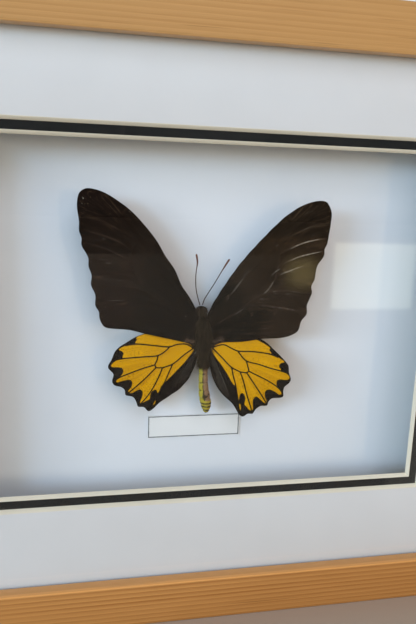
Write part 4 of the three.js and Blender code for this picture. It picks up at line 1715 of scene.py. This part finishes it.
    def eye(self, place: Sequence[float]) -> bpy.types.Object:
        """Shapes one round eye.

        Args:
            place: x, z and depth of its middle.

        Returns:
            The eye.
        """
        x, z, depth = place
        deselect()
        bpy.ops.mesh.primitive_ico_sphere_add(subdivisions=4, radius=mm(self.eye_radius)[0],
                                              location=mm(x, CASE.lower_mat_y + depth, CASE.window_z + z))
        eye = bpy.context.object
        bpy.ops.object.transform_apply(location=True, rotation=True, scale=True)
        bpy.ops.object.mode_set(mode="EDIT")
        bpy.ops.mesh.select_all(action="SELECT")
        bpy.ops.transform.resize(value=(0.8, 1.0, 1.1),
                                 center_override=mm(x, CASE.lower_mat_y + depth, CASE.window_z + z))
        bpy.ops.object.mode_set(mode="OBJECT")
        carry(eye, "along", np.zeros(len(eye.data.vertices)))
        return eye

    def fur(self) -> None:
        """Covers head and thorax with hair, thick on the thorax and thin on the abdomen."""
        random = np.random.default_rng(SEED)
        heights = np.concatenate([random.uniform(self.fur_end, 5.0, int(self.hairs * 0.92)),
                                  random.uniform(-44, self.fur_end, int(self.hairs * 0.08))])
        turns = random.uniform(0, 2 * math.pi, len(heights))
        x, depth, across, thick = self.section_at(heights).T
        roots = np.column_stack([x + across * 0.96 * np.cos(turns),
                                 CASE.lower_mat_y + depth + thick * 0.96 * np.sin(turns),
                                 CASE.window_z + heights])
        ways = np.column_stack([np.cos(turns) / across, np.sin(turns) / thick, np.full(len(turns), -0.3)])
        ways += random.normal(0, 0.13, ways.shape)
        ways /= np.linalg.norm(ways, axis=1, keepdims=True)
        beside = np.abs(np.cos(turns)) * (heights > -15) * (heights < 1)
        lengths = np.where(heights > self.fur_end, random.uniform(0.9, 2.3, len(heights)) + 1.6 * beside,
                           random.uniform(0.2, 0.45, len(heights)))
        Fur(Coat.THORAX, 0.11).build("thorax_hair", roots, ways, lengths)

    def build(self) -> None:
        """Builds trunk, eyes and fur."""
        trunk = self.trunk()
        dress(trunk, BodySkin().material())
        smooth(trunk, 60)
        settle(trunk, node_name("body"), "insect_body", "body")
        horn = Horn("eye_horn", srgb(38, 28, 22), srgb(38, 28, 22), 0.18).material()
        for side, place in zip(("left", "right"), self.eyes):
            eye = self.eye(place)
            dress(eye, horn)
            smooth(eye, 60)
            settle(eye, f"{side}_eye", "insect_body")
        self.fur()


@dataclass
class Antenna:
    """A thin ringed shaft that thickens into a club."""
    node: str
    route: tuple[tuple[float, float, float], ...]
    radius: float = 0.21
    club: float = 0.42
    club_start: float = 0.74
    sides: int = 10
    rings: int = 44

    def build(self, horn: bpy.types.Material) -> None:
        """Builds the antenna as rings of points along its route.

        Args:
            horn: its material.
        """
        path = through(self.route, 30)
        passed = np.concatenate([[0], np.cumsum(np.linalg.norm(np.diff(path, axis=0), axis=1))])
        shares = np.linspace(0, 1, self.rings * 4 + 1)
        line = np.column_stack([np.interp(shares * passed[-1], passed, path[:, axis]) for axis in range(3)])
        middles = np.column_stack([line[:, 0], CASE.lower_mat_y + line[:, 2], CASE.window_z + line[:, 1]])
        ways = np.gradient(middles, axis=0)
        ways /= np.linalg.norm(ways, axis=1, keepdims=True)
        side = np.cross(ways, np.array([0.0, 1.0, 0.0]))
        side /= np.linalg.norm(side, axis=1, keepdims=True)
        other = np.cross(ways, side)
        into_club = np.clip((shares - self.club_start) / (1 - self.club_start), 0, 1)
        radii = self.radius + (self.club - self.radius) * np.sin(into_club * math.pi * 0.62)
        radii *= 1 + 0.07 * np.cos(shares * self.rings * 2 * math.pi)
        radii *= np.sqrt(np.clip((1 - shares) * 60, 0.02, 1))
        turns = np.arange(self.sides) * 2 * math.pi / self.sides
        ring = np.einsum("lc,t->ltc", side, np.cos(turns)) + np.einsum("lc,t->ltc", other, np.sin(turns))
        points = (middles[:, None, :] + ring * radii[:, None, None]).reshape(-1, 3) * 0.001
        faces = [tuple(range(self.sides))]
        for level in range(len(shares) - 1):
            for turn in range(self.sides):
                after = (turn + 1) % self.sides
                first, second = level * self.sides, (level + 1) * self.sides
                faces.append((first + turn, second + turn, second + after, first + after))
        faces.append(tuple(range(len(points) - self.sides, len(points)))[::-1])
        antenna = mesh_from(self.node, points, faces)
        carry(antenna, "along", np.repeat(np.clip(shares * 1.6 - 0.75, 0, 1), self.sides))
        outward(antenna)
        dress(antenna, horn)
        smooth(antenna, 60)
        settle(antenna, node_name(self.node), "antenna", self.node)


@dataclass
class Butterfly:
    """The whole insect on its pad."""
    left_forewing: tuple[Point, ...] = (
        (-1.6, 0.4), (-4.1, 5.6), (-6.7, 10.0), (-10.1, 14.8), (-13.1, 21.4), (-17.2, 27.1), (-21.0, 33.4),
        (-27.3, 41.1), (-32.6, 46.3), (-37.0, 49.5), (-42.6, 52.8), (-46.8, 54.2), (-50.5, 54.4),
        (-53.0, 52.7), (-54.0, 47.8), (-53.2, 41.2), (-53.2, 37.4), (-52.2, 34.3), (-52.3, 31.8),
        (-49.5, 26.3), (-49.5, 23.1), (-48.2, 19.1), (-48.5, 15.3), (-46.7, 10.9), (-46.7, 6.4), (-45.2, 3.7),
        (-45.0, 1.1), (-43.3, -2.5), (-41.7, -3.4), (-32.0, -4.5), (-26.3, -6.1), (-19.6, -7.8),
        (-14.4, -9.1), (-8.3, -10.7), (-2.6, -11.8))
    right_forewing: tuple[Point, ...] = (
        (2.0, 1.0), (3.6, 5.4), (7.8, 13.0), (15.1, 24.2), (22.8, 33.7), (32.8, 44.4), (38.2, 48.6),
        (43.2, 51.3), (47.4, 52.4), (50.0, 52.5), (51.6, 51.9), (53.0, 49.7), (53.9, 45.7), (53.4, 40.1),
        (52.9, 34.7), (51.8, 31.6), (52.0, 29.4), (49.4, 24.9), (48.6, 21.6), (48.4, 18.4), (47.1, 15.1),
        (47.6, 12.2), (45.8, 7.0), (46.0, 3.3), (44.0, -0.1), (42.3, -5.1), (40.0, -7.0), (35.4, -8.3),
        (25.6, -9.2), (16.8, -10.6), (8.9, -11.0), (4.0, -12.0))
    left_hindwing: tuple[Point, ...] = (
        (-2.4, -12.0), (-11.2, -7.7), (-21.5, -5.6), (-29.1, -7.8), (-35.5, -11.5), (-38.3, -14.0),
        (-39.7, -17.5), (-41.3, -20.8), (-38.9, -24.4), (-39.5, -27.2), (-38.5, -29.1), (-35.4, -30.2),
        (-34.0, -31.7), (-33.6, -33.9), (-30.4, -35.1), (-29.0, -37.1), (-28.1, -39.4), (-25.5, -40.0),
        (-23.4, -41.9), (-21.0, -40.8), (-17.6, -37.7), (-13.9, -35.5), (-8.3, -31.4), (-5.2, -27.4),
        (-2.9, -22.2), (-1.7, -16.6))
    right_hindwing: tuple[Point, ...] = (
        (4.1, -12.4), (11.1, -9.4), (20.9, -7.4), (28.3, -10.4), (32.0, -13.6), (38.0, -19.4), (39.7, -21.7),
        (39.9, -24.6), (41.2, -28.1), (40.6, -29.6), (38.4, -31.5), (38.0, -33.8), (38.0, -36.1),
        (36.7, -36.8), (32.9, -37.3), (31.6, -38.8), (30.7, -40.5), (27.8, -40.9), (26.1, -42.3),
        (24.4, -44.5), (22.1, -44.7), (20.0, -46.1), (18.4, -45.3), (15.1, -40.1), (10.7, -36.0),
        (7.3, -31.5), (4.7, -25.2), (3.5, -17.6))
    left_rise: float = 0.075
    right_rise: float = 0.12
    hindwing_drop: float = 0.9
    left_antenna: tuple[tuple[float, float, float], ...] = (
        (-1.5, 5.9, 13.4), (-2.4, 8.6, 13.0), (-3.4, 12.2, 12.6), (-3.9, 16.3, 12.3), (-3.9, 20.4, 12.0),
        (-3.5, 25.0, 11.8), (-4.1, 28.4, 11.7))
    right_antenna: tuple[tuple[float, float, float], ...] = (
        (-0.3, 5.9, 13.4), (0.4, 8.4, 13.0), (2.0, 11.4, 12.6), (4.3, 15.3, 12.3), (7.1, 20.4, 12.0),
        (9.1, 23.9, 11.8), (10.6, 26.4, 11.7))
    tuft_hairs: int = 110
    fold_hairs: int = 650
    fold_lift: float = 0.55
    # two lines, inner and outer, between which the folds are hairy
    left_fold: tuple[tuple[Point, Point], ...] = (
        ((-2.4, -15.5), (-5.0, -25.5)), ((-4.0, -16.5), (-12.5, -30.5)))
    right_fold: tuple[tuple[Point, Point], ...] = (
        ((3.8, -16.5), (8.0, -31.0)), ((4.6, -16.0), (13.0, -36.0)))

    def wings(self) -> None:
        """Builds the four wings."""
        root = (2.0, -5.0)
        forewings = (
            # The left forewing's brown outer zone is partly a painted reflection in the glass.
            Wing("left_forewing", self.left_forewing, mirrored_veins(RIGHT_FOREWING_VEINS, root, 0.6, 4.5),
                 (-2.0, -5.0), self.left_rise, LEFT_FOREWING_GLINTS, brown_from=(22.0, 46.0)),
            Wing("right_forewing", self.right_forewing, RIGHT_FOREWING_VEINS, root, self.right_rise,
                 RIGHT_FOREWING_GLINTS))
        hindwings = (
            Wing("left_hindwing", self.left_hindwing, LEFT_HINDWING_VEINS, (-3.0, -12.5), self.left_rise,
                 LEFT_HINDWING_GLINTS, self.hindwing_drop,
                 (LEFT_GOLD, ((-20.4, -36.9), (-21.4, -39.4), (-20.8, -38.9), (-20.2, -37.2))), camber=0.9),
            Wing("right_hindwing", self.right_hindwing, RIGHT_HINDWING_VEINS, (3.5, -12.8), self.right_rise,
                 RIGHT_HINDWING_GLINTS, self.hindwing_drop,
                 (RIGHT_GOLD, ((17.9, -40.0), (18.6, -42.9), (18.8, -41.4), (18.2, -39.7))), camber=0.9))
        looks = (WingScales("left_forewing_scales"),
                 WingScales("right_forewing_scales", brown=srgb(31, 23, 15), streaked=srgb(84, 67, 50)),
                 WingScales("hindwing_scales", dark=srgb(15, 12, 9), brown=srgb(20, 16, 12),
                            streaked=srgb(60, 52, 43)))
        left, right, hind = (look.material() for look in looks)
        for wing, scales in zip((*forewings, *hindwings), (left, right, hind, hind)):
            wing.build(scales)

    def base_tuft(self, random: np.random.Generator, side: int, name: str, rise: float) -> None:
        """Lays a small curved tuft on the base of the wings of one side.

        Args:
            random: where the draws come from.
            side: -1 for the left, 1 for the right.
            name: name of the piece.
            rise: how much the wing rises towards its tip.
        """
        count = self.tuft_hairs
        across = random.uniform(3.4, 8.0, count)
        height = -10.6 + (across - 3.4) * 0.35 + random.normal(0, 0.5, count)
        roots = np.column_stack([side * across + 0.6, CASE.lower_mat_y + 12.5 - rise * across,
                                 CASE.window_z + height])
        angle = np.radians(random.normal(8, 16, count))
        ways = np.column_stack([side * np.cos(angle), np.full(count, -0.25), np.sin(angle)])
        ways /= np.linalg.norm(ways, axis=1, keepdims=True)
        Fur(Coat.WING_BASE, 0.06, 0.45).build(name, roots, ways, random.uniform(0.8, 2.2, count))

    def fold_hair(self, random: np.random.Generator, fold: Sequence[Sequence[Point]], name: str,
                  rise: float) -> None:
        """Lays grey hair on the inner fold of one hindwing.

        Args:
            random: where the draws come from.
            fold: the two lines that it lies between.
            name: name of the piece.
            rise: how much the wing rises towards its tip.
        """
        count = self.fold_hairs
        inner, outer = (np.array(edge) for edge in fold)
        share = random.uniform(0, 1, (count, 2))
        low = inner[0] + (inner[1] - inner[0]) * share[:, :1]
        high = outer[0] + (outer[1] - outer[0]) * share[:, :1]
        places = low + (high - low) * share[:, 1:]
        depth = Wing.root_depth + self.hindwing_drop - rise * np.abs(places[:, 0]) - self.fold_lift
        roots = np.column_stack([places[:, 0], CASE.lower_mat_y + depth, CASE.window_z + places[:, 1]])
        down = np.arctan2(*(outer[1] - outer[0])[::-1]) + random.normal(0, 0.16, count)
        ways = np.column_stack([np.cos(down), random.uniform(-0.12, 0.0, count), np.sin(down)])
        ways /= np.linalg.norm(ways, axis=1, keepdims=True)
        Fur(Coat.FOLD, 0.055, 0.1).build(name, roots, ways, random.uniform(1.5, 3.6, count))

    def tufts(self) -> None:
        """Lays the tufts and the fold hair on both sides."""
        random = np.random.default_rng(SEED + 1)
        for side, name, rise, fold in ((-1, "left", self.left_rise, self.left_fold),
                                       (1, "right", self.right_rise, self.right_fold)):
            self.base_tuft(random, side, f"{name}_base_tuft", rise)
            self.fold_hair(random, fold, f"{name}_fold_hair", rise)

    def build(self) -> None:
        """Builds wings, body, antennae and pad."""
        self.wings()
        Body().build()
        self.tufts()
        horn = Horn("antenna_horn", srgb(48, 34, 28), srgb(112, 62, 44), 0.45).material()
        for node in ("left_antenna", "right_antenna"):
            Antenna(node, getattr(self, node)).build(horn)
        dress_node("mounting_pad", Foam().material())


# Floor, lights and camera


@dataclass(frozen=True)
class Lamp:
    """A soft rectangular lamp, aimed at the specimen."""
    name: str
    way: tuple[float, float, float]
    distance: float
    size: Point
    radiance: float
    colour: Colour
    mirrored: bool = False

    def build(self, target: Vector) -> None:
        """Adds the lamp.

        Args:
            target: the place that it is aimed at, in metres.
        """
        data = bpy.data.lights.new(self.name, "AREA")
        data.shape = "RECTANGLE"
        data.size, data.size_y = mm(*self.size)
        data.energy = self.radiance * math.pi * data.size * data.size_y
        data.color = self.colour
        lamp = linked(self.name, data)
        away = Vector(self.way).normalized()
        lamp.location = target + away * mm(self.distance)[0]
        lamp.rotation_euler = away.to_track_quat("Z", "Y").to_euler()
        lamp.visible_glossy = self.mirrored
        lamp.visible_transmission = False


@dataclass(frozen=True)
class MirroredPatch:
    """A dim bright thing in the room, which the glass mirrors over one of its own rectangles."""
    name: str
    low: Point
    high: Point
    radiance: float
    colour: Colour
    softness: float = 0.16
    away: float = 1500.0

    def build(self, eye: Vector, glass_y: float) -> None:
        """Adds it as a lamp that only mirrors.

        Args:
            eye: place of the camera, in millimetres.
            glass_y: Y of the front of the glass, in millimetres.
        """
        image = Vector((eye.x, 2 * glass_y - eye.y, eye.z))
        reach = (image.y + self.away) / (image.y - glass_y)
        corners = [image + (Vector((x, glass_y, z)) - image) * reach for x, z in (self.low, self.high)]
        data = bpy.data.lights.new(self.name, "AREA")
        data.shape = "RECTANGLE"
        data.size, data.size_y = (abs(corners[1][axis] - corners[0][axis]) * 0.001 for axis in (0, 2))
        data.energy = self.radiance * math.pi * data.size * data.size_y
        data.color = self.colour
        data.use_nodes = True
        tree = data.node_tree
        spread = tree.nodes.new("ShaderNodeSeparateXYZ")
        tree.links.new(tree.nodes.new("ShaderNodeNewGeometry").outputs["Parametric"], spread.inputs[0])
        strength = tree.nodes["Emission"].inputs["Strength"]
        shares = []
        for axis in ("X", "Y"):
            edge = tree.nodes.new("ShaderNodeMath")
            edge.operation = "PINGPONG"
            edge.inputs[1].default_value = 0.5
            tree.links.new(spread.outputs[axis], edge.inputs[0])
            soft = tree.nodes.new("ShaderNodeMapRange")
            soft.interpolation_type = "SMOOTHSTEP"
            soft.inputs[2].default_value = self.softness
            tree.links.new(edge.outputs[0], soft.inputs[0])
            shares.append(soft.outputs[0])
        both = tree.nodes.new("ShaderNodeMath")
        both.operation = "MULTIPLY"
        for number, share in enumerate(shares):
            tree.links.new(share, both.inputs[number])
        tree.links.new(both.outputs[0], strength)
        lamp = linked(self.name, data)
        lamp.location = (corners[0] + corners[1]) / 2 * 0.001
        lamp.rotation_euler = (math.radians(90), 0, 0)
        lamp.visible_diffuse = False
        lamp.visible_transmission = False


@dataclass
class Studio:
    """Floor, lights and the camera at the photograph's place."""
    eye: tuple[float, float, float] = (-52.8, -261.55, 191.75)
    right: tuple[float, float, float] = (0.97972, -0.196973, 0.036728)
    up: tuple[float, float, float] = (0.004815, 0.206393, 0.978457)
    ahead: tuple[float, float, float] = (0.20031, 0.958438, -0.203156)
    lens: float = 36.0
    target: tuple[float, float, float] = (0.0, 6.0, 133.0)
    ambient: Colour = (0.016, 0.017, 0.019)
    backdrop: Colour = srgb(222, 224, 228)
    floor_size: float = 6000.0
    lamps: tuple[Lamp, ...] = (
        Lamp("key_window", (0.52, -1.0, 0.09), 2200.0, (170.0, 300.0), 29.0, (1.0, 0.724, 0.45)),
        Lamp("high_fill", (0.12, -1.0, 0.85), 1000.0, (750.0, 560.0), 3.3, (0.879, 0.894, 1.0)),
        Lamp("right_fill", (1.1, -1.0, 0.1), 900.0, (480.0, 720.0), 1.5, (1.0, 0.6, 0.27)),
        Lamp("room_fill", (-0.05, -1.0, 0.05), 1400.0, (1120.0, 840.0), 1.45, (1.0, 0.9, 0.83)),
        Lamp("front_left", (-0.6, -1.0, 0.1), 2200.0, (700.0, 900.0), 3.3, (0.63, 0.94, 1.0)),
        Lamp("sky_window", (-1.1, -1.0, 0.32), 2000.0, (500.0, 400.0), 25.0, (0.53, 0.74, 1.0)),
        Lamp("far_left", (-2.0, -1.0, 0.3), 2000.0, (500.0, 400.0), 23.0, (0.867, 0.927, 1.0)),
        Lamp("back_fill", (0.4, 1.0, 0.6), 1800.0, (1400.0, 1000.0), 2.4, (1.0, 0.97, 0.93), mirrored=True))
    patches: tuple[MirroredPatch, ...] = (
        MirroredPatch("mirrored_window", (51.0, 139.0), (92.0, 170.0), 2.9, (0.96, 1.0, 0.8), 0.08),
        MirroredPatch("olive_glow", (28.0, 146.0), (50.0, 166.0), 1.7, (1.0, 0.78, 0.3), 0.45),
        MirroredPatch("pale_wall", (-36.0, 105.0), (23.0, 235.0), 0.05, (1.0, 0.96, 0.8), 0.14),
        MirroredPatch("pale_ceiling", (-40.0, 182.0), (22.0, 235.0), 0.7, (1.0, 0.96, 0.86), 0.2),
        MirroredPatch("far_wall", (84.0, 30.0), (140.0, 240.0), 0.3, (1.0, 0.93, 0.8), 0.12))

    def floor(self) -> None:
        """Adds the floor."""
        deselect()
        bpy.ops.mesh.primitive_plane_add(size=mm(self.floor_size)[0])
        floor = bpy.context.object
        floor.name = "floor"
        floor.visible_glossy = False
        dress(floor, Ground().material())

    def world(self) -> None:
        """Sets a dim even room, and a pale backdrop that only the camera sees."""
        world = bpy.data.worlds.new("room")
        bpy.context.scene.world = world
        world.use_nodes = True
        tree = world.node_tree
        room = tree.nodes["Background"]
        room.inputs["Color"].default_value = (*self.ambient, 1.0)
        pale = tree.nodes.new("ShaderNodeBackground")
        pale.inputs["Color"].default_value = (*self.backdrop, 1.0)
        either = tree.nodes.new("ShaderNodeMixShader")
        tree.links.new(tree.nodes.new("ShaderNodeLightPath").outputs["Is Camera Ray"], either.inputs[0])
        tree.links.new(room.outputs[0], either.inputs[1])
        tree.links.new(pale.outputs[0], either.inputs[2])
        tree.links.new(either.outputs[0], tree.nodes["World Output"].inputs["Surface"])

    def camera(self) -> None:
        """Sets the camera."""
        data = bpy.data.cameras.new("camera")
        data.lens = self.lens
        data.sensor_width = 36.0
        data.clip_start = 0.01
        camera = linked("camera", data)
        axes = Matrix((self.right, self.up, [-value for value in self.ahead])).transposed()
        camera.matrix_world = Matrix.Translation(mm(*self.eye)) @ axes.to_4x4()
        bpy.context.scene.camera = camera

    def build(self) -> None:
        """Sets up the studio."""
        self.camera()
        self.floor()
        self.world()
        for lamp in self.lamps:
            lamp.build(Vector(mm(*self.target)))
        for patch in self.patches:
            patch.build(Vector(self.eye), CASE.front + CASE.lip + CASE.gap)
        bpy.context.scene.view_settings.view_transform = "Standard"
        log.info("studio: %d lamps, %d mirrored patches", len(self.lamps), len(self.patches))


def main() -> None:
    """Builds every sub-assembly in order."""
    logging.basicConfig(level=logging.INFO, format="%(name)s: %(message)s")
    Studio().build()
    PineFrame().build()
    LayeredPack().build()
    BackHardware().build()
    LabelCard().build()
    Butterfly().build()


if __name__ == "__main__":
    main()
